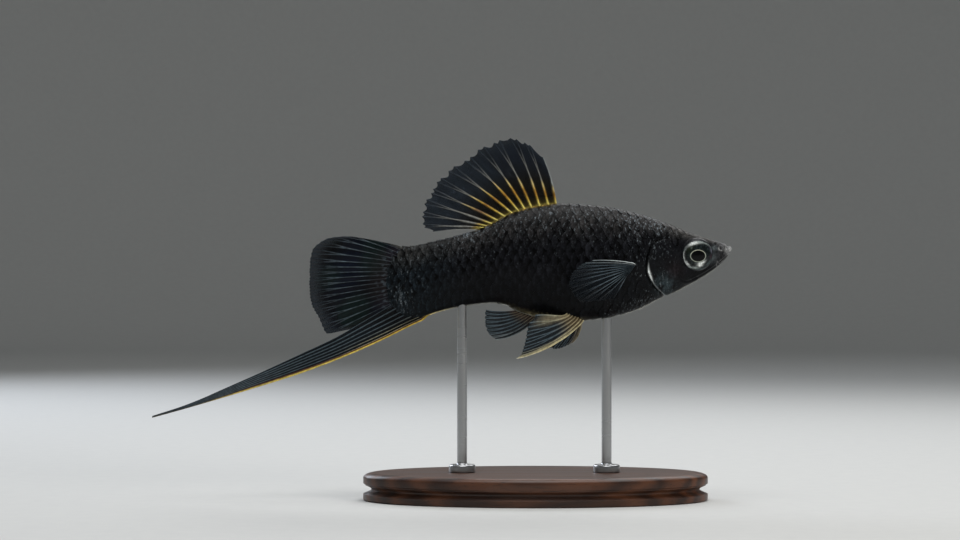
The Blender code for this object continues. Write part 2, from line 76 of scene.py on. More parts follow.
# The flesh of the tail thins towards this line, where the rays of the tail fin come out
TAIL_ROOT = (
    (59.6, 0.4), (60.9, -1.1), (62.2, -3.4), (62.6, -6.2), (61.8, -9.7), (60.1, -11.6),
    (57.8, -12.6), (55.5, -12.7),
)
TAIL_BEND_START, TAIL_THINNING, TAIL_LEFT = 52.0, 5.0, 0.3

# Rows of the skin: first and last station and spacing. The snout's cap has rows of its own
SKIN_ROWS = (
    (0.03, 3.0, 0.045), (3.0, 10.5, 0.08), (10.5, 16.5, 0.1), (16.5, 52.0, 0.3), (52.0, 61.0, 0.22),
)
CAP_ROWS = np.linspace(0.25, 0.9, 5)
SKIN_COLUMNS = 220
COAT = 0.1

# Lines and spots of the head, as (station, height)
MOUTH = ((0.45, -0.95), (0.85, -1.15), (1.3, -1.55), (1.8, -2.0), (2.35, -2.5))
LIP_EDGE = ((0.8, 0.9), (0.86, 0.55), (1.0, 0.2), (1.2, -0.3), (1.5, -0.8), (1.85, -1.35))
LIP_FOLD = ((1.35, 0.5), (1.5, -0.15), (1.7, -0.55), (1.85, -0.95), (2.1, -1.5))
LIP_ROLL = ((1.15, 0.75), (1.25, 0.2), (1.5, -0.35))
JAW_END = ((2.8, -2.25), (2.95, -2.75), (2.85, -3.15))
JAW_CREASE = ((2.35, -2.5), (3.4, -3.35), (5.0, -4.4), (7.2, -5.6))
CHEEK_EDGE = (
    (11.9, 0.4), (10.9, -0.8), (10.45, -2.4), (10.4, -4.2), (9.6, -5.4), (8.2, -5.9), (6.6, -5.3),
)
COVER_CREASE = ((15.3, -4.7), (14.0, -4.9), (12.5, -5.7), (11.0, -6.9))
GILL_EDGE = (
    (12.6, 1.7), (13.6, 1.35), (14.6, 0.6), (15.2, -0.8), (15.5, -2.4), (15.5, -3.9),
    (15.05, -5.2), (14.2, -6.6), (13.1, -7.7), (12.0, -8.45), (10.8, -8.05), (9.4, -7.5),
)
EYE = (6.4, -1.05)
EYE_RADIUS, EYE_HALF_DEPTH, EYE_SINK = 2.95, 1.65, 0.75
SOCKET_DEPTH, SOCKET_EDGE = 1.15, (2.32, 2.7)
FRONT_NOSTRIL, REAR_NOSTRIL = (2.15, 0.1), (3.15, 0.95)
PECTORAL_LOBE = (17.0, -2.7)
SNOUT_TIP, SNOUT_GLEAM, BROW_GLEAM = (0.45, 0.0), (4.1, -1.6), (3.4, 0.2)
COVER_PATCH, CHEEK_PATCH = (12.3, -6.2), (10.6, -4.0)

# The skin's relief along the head's lines and round its spots: how far it stands out there,
# below zero in a groove, how far off the line or spot that is, and over what width
LINE_RELIEF = (
    (MOUTH, -0.32, 0.0, 0.06), (LIP_EDGE, -0.17, 0.0, 0.1), (LIP_FOLD, -0.15, 0.0, 0.11),
    (JAW_END, 0.09, 0.0, 0.16), (JAW_CREASE, -0.08, 0.0, 0.12), (JAW_CREASE, 0.03, 0.3, 0.15),
    (CHEEK_EDGE, -0.09, 0.0, 0.14), (CHEEK_EDGE, 0.05, 0.35, 0.2), (COVER_CREASE, -0.05, 0.0, 0.12),
)
SPOT_RELIEF = (
    (FRONT_NOSTRIL, -0.34, 0.0, 0.22), (FRONT_NOSTRIL, 0.1, 0.4, 0.12),
    (REAR_NOSTRIL, -0.24, 0.0, 0.16), (REAR_NOSTRIL, 0.07, 0.3, 0.1),
)

# Places with more silvery flecks: the spot, how wide, and how many more
FLECKED = (((59.8, -9.2), 2.5, 0.4), ((12.4, -5.4), 1.5, 0.3), ((16.9, -4.6), 1.1, 0.35))

# Scales: how long the part of each that shows is at a station, how tall their rows are, and
# how far one reaches forwards, backwards and to each side of its middle in shares of that.
# The map named lie holds these shares, and OFF_SCALE all over the bare skin. A scale's colour
# is never below DEEPEST
SCALE_PITCH = ((8.0, 1.1), (14.0, 1.3), (22.0, 1.7), (45.0, 1.7), (61.0, 1.35))
ROW_PITCH, ROWS_EACH_WAY = 1.02, 16
FIRST_SCALE, LAST_SCALE = 8.0, 62.5
RIDGE_ROW = (9.0, 60.0, 1.6)
SCALE_FRONT, SCALE_REAR, SCALE_SIDE = 0.95, 0.68, 0.98
SCALE_LIFT, SCALE_SUNK, SCALE_THICKNESS = 0.2, 0.08, 0.07
SCALE_CORNERS, SCALE_RINGS = 12, (0.55, 0.85, 1.0)
HALF_PATCH, OFF_SCALE, DEEPEST = 0.0015, 9.0, 0.0015

# Where no scale sits: how far round the eye and the pectoral lobe, on the gill cover between
# two stations below a height, on the throat up to a station and a girth, and under the
# dorsal fin from one station to the next
EYE_BARE, LOBE_BARE = 4.0, 1.2
COVER_BARE, COVER_END, COVER_TOP = 10.6, 16.0, 1.3
THROAT_END, THROAT_GIRTH = 12.2, 0.6
DORSAL_START, DORSAL_END, RIDGE_HALF = 31.0, 46.5, 0.06

# Fins. Tips and bows are (share of the rays, station, side, height) from first to last
DORSAL_ROOT = ((0, 31.6), (0.25, 36.2), (0.5, 39.8), (0.75, 43.5), (1, 45.8))
DORSAL_TIPS = (
    (0, 34.0, 0, 16.5), (0.08, 36.8, 0, 19.0), (0.17, 39.5, 0.1, 20.0), (0.25, 42.5, 0.2, 19.5),
    (0.42, 47.9, 0.4, 16.3), (0.58, 52.8, 0.3, 12.5), (0.75, 55.3, 0, 8.5), (0.85, 56.0, -0.2, 5.8),
    (0.93, 55.7, -0.1, 3.9), (1, 54.2, 0, 3.1),
)
DORSAL_BOW = ((0, -0.4, 0, 0.1), (0.3, -0.4, 0.3, 0.3), (1, 0, 0, 0.1))
DORSAL_RAYS = 13
FAN_SHARE, SWORD_SHARE = 0.65, 0.63
FAN_TIPS = (
    (0, 61.8, 0, 1.0), (0.06, 65.6, 0, 1.8), (0.11, 69.2, 0, 2.3), (0.16, 72.0, 0, 2.1),
    (0.21, 74.2, 0, 1.3), (0.27, 75.7, 0.1, -0.2), (0.34, 76.2, 0.2, -2.2), (0.58, 76.3, 0.3, -7.2),
    (0.7, 75.9, 0.2, -9.8), (0.82, 74.6, 0.1, -12.3), (0.944, 72.8, 0, -15.3), (1, 68.6, 0, -14.5),
)
FAN_BOW = ((0, 0, 0, 0.05), (0.1, 0, 0, 0.3), (0.3, 0, 0, 0.15), (1, 0, 0, 0))
SWORD_UPPER = (
    (55.0, -6.0), (61.9, -10.2), (66.1, -12.75), (71.5, -15.95), (77.8, -18.95), (85.0, -22.3),
    (92.2, -25.5), (95.8, -27.1), (99.4, -28.5), (104.8, -30.25),
)
SWORD_LOWER = (
    (55.0, -12.7), (58.0, -14.05), (63.4, -16.7), (70.6, -19.8), (77.8, -22.5), (85.0, -24.8),
    (92.2, -27.0), (99.4, -29.1), (104.8, -30.6),
)
SWORD_RISE = 25.0
ANAL_ROOT = ((0, 35.1), (1, 39.3))
ANAL_TIPS = (
    (0, 42.7, 0, -16.35), (0.25, 43.9, 0, -15.3), (0.5, 44.5, 0, -13.9), (0.75, 44.6, 0, -12.3),
    (1, 44.6, 0, -10.9),
)
ANAL_BOW = ((0, -0.2, 0, -1.2), (1, 0, 0, -0.3))
PECTORAL_ROOT = ((17.9, -2.6), (19.0, -4.2))
PECTORAL_TIPS = (
    (0, 25.7, 8.8, -2.1), (0.15, 28.0, 9.4, -3.1), (0.45, 29.8, 9.6, -6.1), (0.75, 27.4, 9.1, -9.6),
    (1, 21.8, 7.6, -9.1),
)
PECTORAL_BOW = ((0, 0, 0.2, 0.5), (1, 0, 0.2, -0.2))
PELVIC_ROOT = ((27.1, -12.9), (30.0, -11.7))
PELVIC_RIGHT_TIPS = (
    (0, 39.0, 3.4, -19.6), (0.2, 38.1, 3.7, -18.7), (0.5, 37.4, 4.2, -16.6), (0.8, 37.0, 4.6, -14.0),
    (1, 35.5, 4.9, -11.8),
)
PELVIC_RIGHT_BOW = ((0, 0.3, 0.3, -1.9), (0.4, 0.1, 0.3, -0.8), (1, 0, 0.4, 0.3))
PELVIC_LEFT_TIPS = (
    (0, 28.7, 5.4, -17.1), (0.2, 29.9, 5.8, -17.8), (0.5, 31.8, 6.4, -18.3), (0.8, 33.8, 6.6, -17.0),
    (1, 34.8, 6.2, -14.6),
)
PELVIC_LEFT_BOW = ((0, -0.8, 0.3, -0.2), (0.4, -0.4, 0.4, -0.3), (1, 0, 0.5, 0.2))
PAIRED_LEAVE = 1.0
GAP = 0.1
# A tooth of a fin's margin reaches this share of the rays' spacing to each side, and the power
# gives it its point. A ray's bell is at most this share of the spacing wide, and at least
# this many columns. The shares of its thickness that a ray loses by its tip, and a fin at
# its margin and in the flesh. How much of its half of the map a face fills, and from where
TOOTH_REACH, TOOTH_POWER = 0.26, 1.5
WIDEST_RAY, FINEST_RAY = 0.2, 1.15
TIP_LOSS, MARGIN_LOSS, SUNK_LOSS = 0.62, 0.6, 0.75
MAP_FILLED, MAP_EDGE = 0.46, 0.03

# Eyes: the pupil's half width and height, those of the iris round it and how low that lies, and
# how far the pupil lies behind and below the middle of the iris. The bright ring is at this
# share of the pupil
PUPIL, IRIS, EYE_DROP = (1.27, 0.96), (2.92, 2.6), 0.14
PUPIL_BACK, PUPIL_DROP, RING_AT = 0.2, 0.07, 1.09
EYE_RINGS, EYE_STEPS, EYE_EDGE, HEEL = 90, 160, 2.93, 0.9
# Gleaming patches of the iris: angle from the front and upwards, half angle, share of the way
# out to the iris' edge, half width there, tone and strength
IRIS_PATCHES = (
    (112, 21, 0.89, 0.09, "white", 1.0), (84, 12, 0.91, 0.06, "silver", 0.9),
    (62, 12, 0.93, 0.045, "silver", 0.5), (24, 15, 0.9, 0.05, "violet", 0.5),
    (25, 40, 0.98, 0.02, "silver", 0.5), (-6, 11, 0.8, 0.1, "plum", 0.9),
    (-38, 15, 0.84, 0.06, "teal", 0.9), (-70, 24, 0.54, 0.08, "white", 0.9),
    (-82, 14, 0.67, 0.1, "white", 0.9), (-101, 13, 0.87, 0.07, "silver", 0.8),
    (-80, 18, 0.95, 0.04, "teal", 0.9), (-122, 12, 0.94, 0.05, "silver", 0.7),
    (-140, 9, 0.88, 0.06, "white", 0.9), (-168, 30, 0.955, 0.065, "white", 1.0),
    (160, 12, 0.97, 0.035, "teal", 0.9), (133, 5, 0.71, 0.045, "silver", 0.9),
    (143, 26, 0.74, 0.14, "moss", 0.7),
)

# The stand. The board's edge and cove are in shares of its length, levels in shares of its height
BASE_LENGTH, BASE_WIDTH, BASE_HEIGHT, BASE_CENTRE_X = 62.0, 34.0, 5.0, 17.0
BOARD_EDGE, BOARD_STEP, COVE_DEPTH = 0.035, 0.006, 0.018
SHOULDER_LEVEL, COVE_TOP, COVE_DROP = 0.82, 0.55, 0.28
ROD_RADIUS, ROD_BED = 0.9, 0.02
COLLAR_RADIUS, COLLAR_HEIGHT, COLLAR_HOLLOW, COLLAR_ROUND = 2.4, 1.4, 0.35, 0.4
ROD_STATIONS = {"stand_rod_front": 22.6, "stand_rod_rear": 48.6}

# The studio: the floor's flat radius, its bend and the wall's height, then each light's place,
# aim, width and height, power and colour
SWEEP_FLAT, SWEEP_BEND, SWEEP_TOP, SWEEP_STEPS = 900.0, 350.0, 1500.0, 96
LIGHTS = {
    "key_light": ((60, -60, 460), (10, 0, 40), (420, 260), 1.5, "#ffffff"),
    "head_light": ((360, -330, 190), (30, 0, 42), (220, 260), 0.95, "#fff8f0"),
    "rim_light": ((-300, 380, 260), (0, 0, 38), (300, 260), 1.1, "#eef4ff"),
    "back_light": ((120, 300, 300), (20, 0, 45), (300, 140), 0.45, "#ffffff"),
}
ROOM_COLOUR, ROOM_LIGHT = "#dfe3e6", 0.26
CAMERA_PLACE, CAMERA_LENS, SENSOR_WIDTH = (7.02, -480, 41.4), 100.0, 36.0


# Curves and numbers

def smooth(line, at):
    """The value at each station on the monotone cubic through (station, value) points."""
    station, value = np.array(line, float).T
    step = np.diff(station)
    slope = np.diff(value) / step
    product = slope[1:] * slope[:-1]
    total = np.where(product > 0, slope[1:] + slope[:-1], 1.0)
    inner = np.where(product > 0, 2 * product / total, 0.0)
    lean = np.concatenate([slope[:1], inner, slope[-1:]])
    i = np.clip(np.searchsorted(station, at) - 1, 0, len(step) - 1)
    t = (np.asarray(at, float) - station[i]) / step[i]
    start, end = value[i], value[i + 1]
    bend = (1 - t) * lean[i] - t * lean[i + 1] + (2 * t - 1) * slope[i]
    return start + t * (end - start) + t * (1 - t) * step[i] * bend


def along(rows, at):
    """Points at each share, 0 to 1, of a smooth path of (share, coordinates...) rows."""
    rows = np.array(rows, float)
    return np.stack([smooth(rows[:, (0, k)], at) for k in range(1, rows.shape[1])], axis=-1)


def rise(value, start, end):
    """0 up to the start, 1 from the end on, and an even S between them: 3t^2 - 2t^3."""
    t = np.clip((value - start) / (end - start), 0, 1)
    return t * t * (3 - 2 * t)


def fall(value, start, end):
    """1 up to the start, 0 from the end on, and an even S between them."""
    return 1 - rise(value, start, end)


def hump(value, width):
    """1 at zero, falling away on both sides as a bell: e^-(value/width)^2."""
    return np.exp(-(value / width) ** 2)


def mix(one, other, share):
    """The one colour where the share is 0 and the other where it is 1."""
    share = np.asarray(share, float)[..., None]
    return np.asarray(one) * (1 - share) + np.asarray(other) * share


def lay(tones, base, *layers):
    """Colours laid over a base in turn. Each layer is a colour and how strongly it covers each
    place, 0 to 1. A colour may be given by its name among the tones."""
    def named(colour):
        return tones[colour] if isinstance(colour, str) else colour
    laid = named(base)
    for colour, share in layers:
        laid = mix(laid, named(colour), share)
    return laid


def paint(code):
    """An sRGB hex colour as linear red, green and blue."""
    level = np.array([int(code[i:i + 2], 16) for i in (1, 3, 5)]) / 255
    return np.where(level <= 0.04045, level / 12.92, ((level + 0.055) / 1.055) ** 2.4)


def unit(vectors):
    """Vectors divided by their length."""
    return vectors / np.linalg.norm(vectors, axis=-1, keepdims=True)


def placed(points):
    """Fish places in millimetres, with the tail's sway, as points of the model in metres."""
    station, side, height = np.moveaxis(np.asarray(points, float), -1, 0)
    reach = OVERALL_LENGTH - SWAY_START
    sway = SWAY_AT_TIP * (np.clip(station - SWAY_START, 0, None) / reach) ** 2
    x = OVERALL_LENGTH / 2 - station
    return np.stack([x, side + sway, SNOUT_HEIGHT + height], axis=-1) * MM


def from_line(points, line):
    """How far places, seen from the side, are from a line: above zero behind it, and below zero
    ahead of it.

    The line is drawn as short straight pieces of a smooth curve. Behind is on the left hand
    of someone who walks along it, with the head to the right.
    """
    rows = np.array([(i / (len(line) - 1), *spot) for i, spot in enumerate(line)])
    curve = along(rows, np.linspace(0, 1, 6 * len(line)))
    spots = points[..., ::2]
    nearest = np.full(spots.shape[:-1], np.inf)
    for start, end in zip(curve[:-1], curve[1:]):
        way, off = end - start, spots - start
        share = np.clip(off @ way / (way @ way), 0, 1)
        gap = np.linalg.norm(off - share[..., None] * way, axis=-1)
        turned = way[0] * off[..., 1] - way[1] * off[..., 0]
        signed = np.where(turned < 0, -gap, gap)
        nearest = np.where(gap < np.abs(nearest), signed, nearest)
    return nearest


def from_spot(points, spot):
    """How far places, seen from the side, are from a (station, height) spot."""
    return np.hypot(points[..., 0] - spot[0], points[..., 2] - spot[1])


def waves(places, size, seed):
    """Soft uneven ups and downs of about one size, from -1 to 1: a sum of slanted sine waves."""
    draw = np.random.default_rng(seed)
    total = 0.0
    for _ in range(7):
        way = unit(draw.normal(size=3)) * draw.uniform(0.7, 1.6) * 2 * math.pi / size
        total = total + np.sin(places @ way + draw.uniform(0, 2 * math.pi))
    return total / 4.0


# The body's surface

def section(station):
    """A cross-section: its widest level, its rise, its fall, half its width, its squareness."""
    top, bottom = smooth(BACK_LINE, station), smooth(BELLY_LINE, station)
    level = bottom + (top - bottom) * smooth(WIDEST_LEVEL, station)
    square = smooth(UPPER_SQUARENESS, station), smooth(LOWER_SQUARENESS, station)
    return level, top - level, level - bottom, smooth(HALF_WIDTH, station), square


ARC_STATIONS = np.concatenate([np.linspace(FIRST_STATION, 4, 60), np.linspace(4.2, LAST_STATION, 200)])
ARC_SHARES = np.linspace(0, 1, 97)


def arc_tables():
    """For the upper and the lower quarter of each cross-section, its length, and the turn at
    which each share of that length is reached, so that the girth goes at an even pace."""
    _, rises, falls, wide, squares = section(ARC_STATIONS)
    turn = ARC_SHARES * math.pi / 2
    lengths, turns = [], []
    for reach, square in zip((rises, falls), squares):
        power = (2 / square)[:, None]
        out, up = wide[:, None] * np.cos(turn) ** power, reach[:, None] * np.sin(turn) ** power
        steps = np.hypot(np.diff(out), np.diff(up))
        gone = np.concatenate([np.zeros((len(out), 1)), np.cumsum(steps, axis=1)], axis=1)
        lengths.append(gone[:, -1])
        turns.append(np.array([np.interp(ARC_SHARES, row / row[-1], turn) for row in gone]))
    return lengths, turns


QUARTER_LENGTHS, QUARTER_TURNS = arc_tables()
UPPER, LOWER = 0, 1


def quarter_length(station, quarter):
    """How long the skin is from the widest level to the back, or to the belly."""
    return np.interp(station, ARC_STATIONS, QUARTER_LENGTHS[quarter])


def from_belly(girth):
    """The girth counted up from the belly on either side: 2 on the back."""
    girth = np.mod(girth, 4)
    return np.where(girth > 2, 4 - girth, girth)


def bare_flesh(station, girth):
    """The body as a loft of half-superellipses: side is the half width times cos(turn)^(2/s)
    and height goes by sin(turn)^(2/s) from the widest level, s being the squareness. Ahead of
    its first ring it closes in a small dome."""
    station, girth = np.broadcast_arrays(station, np.mod(girth, 4))
    dome = np.clip((station - FIRST_STATION + SNOUT_CAP) / SNOUT_CAP, 0, 1)
    at = np.clip(station, FIRST_STATION, LAST_STATION)
    up = from_belly(girth)
    upper = up >= 1
    row = np.interp(at, ARC_STATIONS, np.arange(len(ARC_STATIONS)))
    i = np.clip(row.astype(int), 0, len(ARC_STATIONS) - 2)
    column = np.abs(up - 1) * (len(ARC_SHARES) - 1)
    j = np.clip(column.astype(int), 0, len(ARC_SHARES) - 2)
    f, g = row - i, column - j
    turn = 0.0
    for table, here in zip(QUARTER_TURNS, (upper, ~upper)):
        near = table[i, j] * (1 - g) + table[i, j + 1] * g
        far = table[i + 1, j] * (1 - g) + table[i + 1, j + 1] * g
        turn = turn + np.where(here, near * (1 - f) + far * f, 0)
    level, rises, falls, wide, (above, below) = section(at)
    power = 2 / np.where(upper, above, below)
    side = np.where(girth > 2, 1, -1) * wide * np.clip(np.cos(turn), 0, 1) ** power
    height = level + np.where(upper, rises, -falls) * np.clip(np.sin(turn), 0, 1) ** power
    closing = np.sin(dome * math.pi / 2)
    middle = smooth(BACK_LINE, at) * 0.5 + smooth(BELLY_LINE, at) * 0.5
    place = np.where(dome < 1, FIRST_STATION - SNOUT_CAP * np.cos(dome * math.pi / 2), station)
    return np.stack([place, side * closing, middle + (height - middle) * closing], axis=-1)


def tail_end_table():
    """The station at which the flesh ends for each girth, found by going back and forth
    between the body's surface and the line of the tail's root."""
    girth = np.linspace(0, 2, 201)
    root = np.array(TAIL_ROOT)[::-1]
    station = np.full(girth.shape, 58.0)
    for _ in range(60):
        height = bare_flesh(station, girth)[..., 2]
        station = 0.6 * station + 0.4 * np.interp(height, root[:, 1], root[:, 0])
    return girth, station


END_GIRTHS, END_STATIONS = tail_end_table()


def flesh_end(girth):
    """The station at which the flesh ends at a girth, from the table."""
    return np.interp(from_belly(girth), END_GIRTHS, END_STATIONS)


def flesh(station, girth):
    """The body with its tail thinned: over the last few millimetres before the flesh ends,
    the side goes down along an even S to a small part of itself."""
    points = bare_flesh(station, girth)
    to_end = flesh_end(girth) - points[..., 0]
    points[..., 1] *= 1 - (1 - TAIL_LEFT) * fall(to_end, 0, TAIL_THINNING)
    return points


def out_of_flesh(station, girth):
    """The direction straight out of the flesh, square to its two slopes."""
    before = np.maximum(station - 0.02, FIRST_STATION - SNOUT_CAP)
    ahead, behind = flesh(station + 0.02, girth), flesh(before, girth)
    over, under = flesh(station, girth + 0.004), flesh(station, girth - 0.004)
    return unit(np.cross(ahead - behind, over - under))


def flank(station, height, side):
    """The place on the body's side at a station and height, and the direction out of it."""
    def half_width(at, level):
        widest, rises, falls, wide, (upper, lower) = section(at)
        above = level >= widest
        power = np.where(above, upper, lower)
        share = np.clip(np.abs(level - widest) / np.where(above, rises, falls), 0, 1)
        return wide * (1 - share ** power) ** (1 / power)
    station, height = np.asarray(station, float), np.asarray(height, float)
    wide = half_width(station, height)
    step = 0.05
    taper = (half_width(station + step, height) - half_width(station - step, height)) / (2 * step)
    curve = (half_width(station, height + step) - half_width(station, height - step)) / (2 * step)
    out = unit(np.stack([-taper, np.full_like(wide, side), -curve], axis=-1))
    return np.stack([station, side * wide, height], axis=-1), out


def from_eye(points):
    """How far points are from the axis of the eye on their own side."""
    mirrored = points * np.array([1, -1, 1])
    place, out = flank(*EYE, -1)
    near = np.where(points[..., 1:2] <= 0, points, mirrored) - place
    lift = near @ out
    return np.linalg.norm(near - lift[..., None] * out, axis=-1)


def relief(points):
    """How far the skin stands out of the flesh, in millimetres: bells across the head's lines
    and spots, a socket for the eye with a low rim, and a groove behind the gill cover's edge."""
    station, height = points[..., 0], points[..., 2]
    stand = np.full(station.shape, -COAT)
    for line, out, off, width in LINE_RELIEF:
        stand += out * hump(np.abs(from_line(points, line)) - off, width)
    for spot, out, off, width in SPOT_RELIEF:
        stand += out * hump(from_spot(points, spot) - off, width)
    lips = fall(station, 1.6, 2.5)
    stand += 0.1 * lips * hump(np.abs(from_line(points, MOUTH)) - 0.24, 0.13)
    eye = from_eye(points)
    stand += 0.06 * hump(eye - 2.86, 0.15) - 0.03 * hump(eye - 3.2, 0.16)
    stand -= SOCKET_DEPTH * fall(eye, *SOCKET_EDGE)
    away = from_line(points, GILL_EDGE)
    shut = rise(away, -0.07, 0.07)
    stand += (1 - shut) * 0.13 * hump(away, 0.55) - shut * 0.38 * hump(away, 0.34)
    lobe = np.hypot(station - PECTORAL_LOBE[0], (height - PECTORAL_LOBE[1]) / 1.3)
    return stand + 0.2 * hump(lobe, 1.0)


def skin_at(station, girth, lift=0.0):
    """Places on the skin, raised by a lift."""
    points = flesh(station, girth)
    return points + out_of_flesh(station, girth) * (relief(points) + lift)[..., None]


# Colours of the skin, the same on the bare skin and on its scales

SKIN_TONES = {name: paint(code) for name, code in {
    "back": "#1c1b1b", "flank": "#0d0e11", "belly": "#050608", "crown_and_painted_sheen": "#2b2a28",
    "snout": "#4d4e50", "lip": "#939595", "groove": "#030404", "rim": "#9aa1a2",
    "cover": "#2b363a", "plum": "#211a1d", "painted_keel_highlight": "#a3a49c", "bar": "#d4dada",
    "straw": "#c9bd8a", "tail": "#0d1317", "cream": "#8f8666", "gold": "#b8963a",
    "silver": "#6f797c",
}.items()}


def pigment(points, girth):
    """The skin's colour at each place: a few tones laid over each other, each by an even S or a
    bell of the station, the height, the girth or the distance from a line of the head. Some of
    it is painted light: a pale line along the belly's edge and a sheen on the crown and the
    stalk's top as painted highlights, silver spots as painted highlights on the snout and brow,
    and painted shade in the creases of the head and round and under the eye."""
    station, height = points[..., 0], points[..., 2]
    up = from_belly(girth)
    cloudy = waves(points, 5.0, 11)
    top = rise(height - 0.3 * station, -1.3, 0.1)
    patch = hump(from_spot(points, COVER_PATCH), 1.7) * rise(waves(points, 1.6, 12), -0.9, 0.1)

    # A painted highlight: the pale line under the belly that stands in for the rim light along its edge,
    # given by the height over it and the way round to it
    low = np.where(up < 1, height - smooth(BELLY_LINE, station), np.inf)
    off_middle = up * quarter_length(station, LOWER)
    trunk = rise(station, 9, 15)
    painted_keel_highlight = fall(low, 0.14, 0.3) * (1 - rise(off_middle, 0.35, 1.1) * trunk)
    painted_keel_highlight = painted_keel_highlight * rise(station, 0.8, 3)
    golden = fall(low, 0.15, 0.4) * rise(station, 53, 57)
    under_dorsal = rise(up, 1.9, 1.98) * rise(station, 31, 33) * fall(station, 44, 47)

    lips, fold = from_line(points, MOUTH), from_line(points, LIP_FOLD)
    thin = (0.3 + 0.4 * fall(station, 0.6, 1.3)) * fall(station, 2.2, 2.9)
    nostril = from_spot(points, FRONT_NOSTRIL)
    gill = from_line(points, GILL_EDGE)
    pale = hump(gill + 0.1, 0.09) * rise(-height, 2.6, 4.4) * rise(station, 11.4, 12.4)
    bar = hump(gill + 0.16, 0.24 * hump(height + 4.4, 1.6)) * hump(height + 4.4, 1.3)
    bar = bar * rise(station, 12.0, 13.0) * fall(gill, -0.04, 0.04)
    eye = from_eye(points)
    # Painted shade: near-black along the mouth and the lip's fold, in the nostrils, in the groove behind the
    # gill cover's edge, in a ring round the eye and under it
    dark = (
        hump(lips, 0.055) + 0.6 * hump(fold, 0.14) + 0.6 * hump(nostril, 0.2)
        + hump(from_spot(points, REAR_NOSTRIL), 0.18) + hump(gill - 0.12, 0.16)
        + hump(eye - 2.68, 0.09) + rise(2.6 - eye, 0, 0.1)
    )
    return lay(
        SKIN_TONES, "belly",
        ("flank", rise(up + 0.12 * cloudy, 0.45, 0.95)),
        ("back", rise(up + 0.1 * cloudy, 1.15, 1.8)),
        ("tail", 0.8 * rise(station, 46, 58)),
        # Partly the skin's own warm grey and partly a painted highlight: a sheen on the top of the head and
        # of the tail stalk, where the rim light falls
        ("crown_and_painted_sheen", 0.8 * rise(up, 1.3, 1.6) * fall(station, 8, 16)),
        ("crown_and_painted_sheen", 0.55 * rise(up, 1.3, 1.8) * hump(station - 58, 4.5)),
        ("snout", (0.25 + 0.6 * top) * fall(station, 1.2, 4.4)),
        # Painted highlights: silver spots where the snout and the brow gleam
        ("silver", 0.35 * hump(from_spot(points, SNOUT_GLEAM), 0.9)),
        ("silver", 0.3 * hump(from_spot(points, BROW_GLEAM), 0.5)),
        ("cover", 0.9 * patch),
        ("plum", 0.5 * hump(from_spot(points, CHEEK_PATCH), 1.6)),
        ("cream", 0.7 * hump(station - 33.5, 4.2) * fall(low, 0.3, 1.1)),
        # Painted highlight along the belly's edge, tinted straw towards the tail
        ("painted_keel_highlight", (0.42 + 0.33 * trunk - 0.25 * rise(station, 40, 46)) * painted_keel_highlight),
        ("straw", 0.9 * painted_keel_highlight * rise(station, 49, 54)),
        ("gold", 0.95 * golden),
        ("gold", 0.45 * under_dorsal),
        ("lip", thin * hump(np.abs(lips) - 0.19, 0.07)),
        ("lip", 0.8 * hump(from_spot(points, SNOUT_TIP), 0.85)),
        ("lip", 0.4 * hump(from_line(points, LIP_ROLL), 0.14)),
        ("lip", 0.25 * hump(from_line(points, JAW_END), 0.12)),
        ("lip", 0.7 * hump(nostril - 0.42, 0.13) * rise(station - height, 2.0, 2.6)),
        ("rim", 0.6 * pale),
        ("bar", bar),
        # Painted shade in the head's creases and round the eye
        ("groove", np.clip(dark, 0, 1)),
    )


def sparkle(points, girth):
    """How many silvery flecks the skin shows at each place, 0 to 1: most on the nape, the
    gill cover and behind it, the breast, the back behind the dorsal fin and the tail's root."""
    station = points[..., 0]
    up = from_belly(girth)
    high = (0.25 * rise(up, 0.7, 1.1) + 0.28 * rise(up, 1.1, 1.7)) * rise(station, 8, 14)
    spread = (
        high * (1 - 0.6 * rise(station, 50, 57))
        + 0.22 * hump(station - 13, 6.0) + 0.25 * hump(station - 59, 4.0)
        + 0.3 * rise(up, 1.6, 1.9) * hump(station - 46.5, 3.5)
        + 0.4 * hump(station - 19, 7.0) * rise(0.55 - up, 0, 0.3)
    )
    for spot, width, more in FLECKED:
        spread = spread + more * hump(from_spot(points, spot), width)
    return np.clip(spread * rise(station, 1.5, 5), 0, 1)


def dashes(points, girth):
    """How strongly the dark strokes of the scales show: from the back down to the mid-side
    line, fading to a trace below it."""
    return 0.12 + 0.88 * rise(from_belly(girth) + 0.1 * waves(points, 6.0, 41), 0.5, 1.05)


# Meshes

def put_in(name, points, faces, finish):
    """Puts arrays of points and of faces into the scene as one smooth-shaded object."""
    mesh = bpy.data.meshes.new(name)
    mesh.from_pydata(points.reshape(-1, 3).tolist(), [], [face for kind in faces for face in kind.tolist()])
    mesh.shade_smooth()
    mesh.materials.append(finish)
    obj = bpy.data.objects.new(name, mesh)
    bpy.context.scene.collection.objects.link(obj)
    return obj


def mesh_of(name, points, faces, finish, nodes, paints=None, numbers=None, maps=None, sharp=None):
    """Puts a piece into the scene with its finish, and hides the parts of the solids that it stands for.

    paints and numbers are kept for each vertex, maps for each corner of the faces in turn.
    """
    obj = put_in(name, points, faces, finish)
    mesh = obj.data
    for title, values in (paints or {}).items():
        full = np.concatenate([values.reshape(-1, 3), np.ones((len(mesh.vertices), 1))], axis=1)
        mesh.color_attributes.new(title, "FLOAT_COLOR", "POINT").data.foreach_set("color", full.ravel())
    for title, values in (numbers or {}).items():
        mesh.attributes.new(title, "FLOAT", "POINT").data.foreach_set("value", values.ravel())
    for title, values in (maps or {}).items():
        mesh.uv_layers.new(name=title).data.foreach_set("uv", values.ravel())
    if sharp:
        mesh.set_sharp_from_angle(angle=math.radians(sharp))
    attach(obj, "root")
    if nodes:
        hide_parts(*nodes)


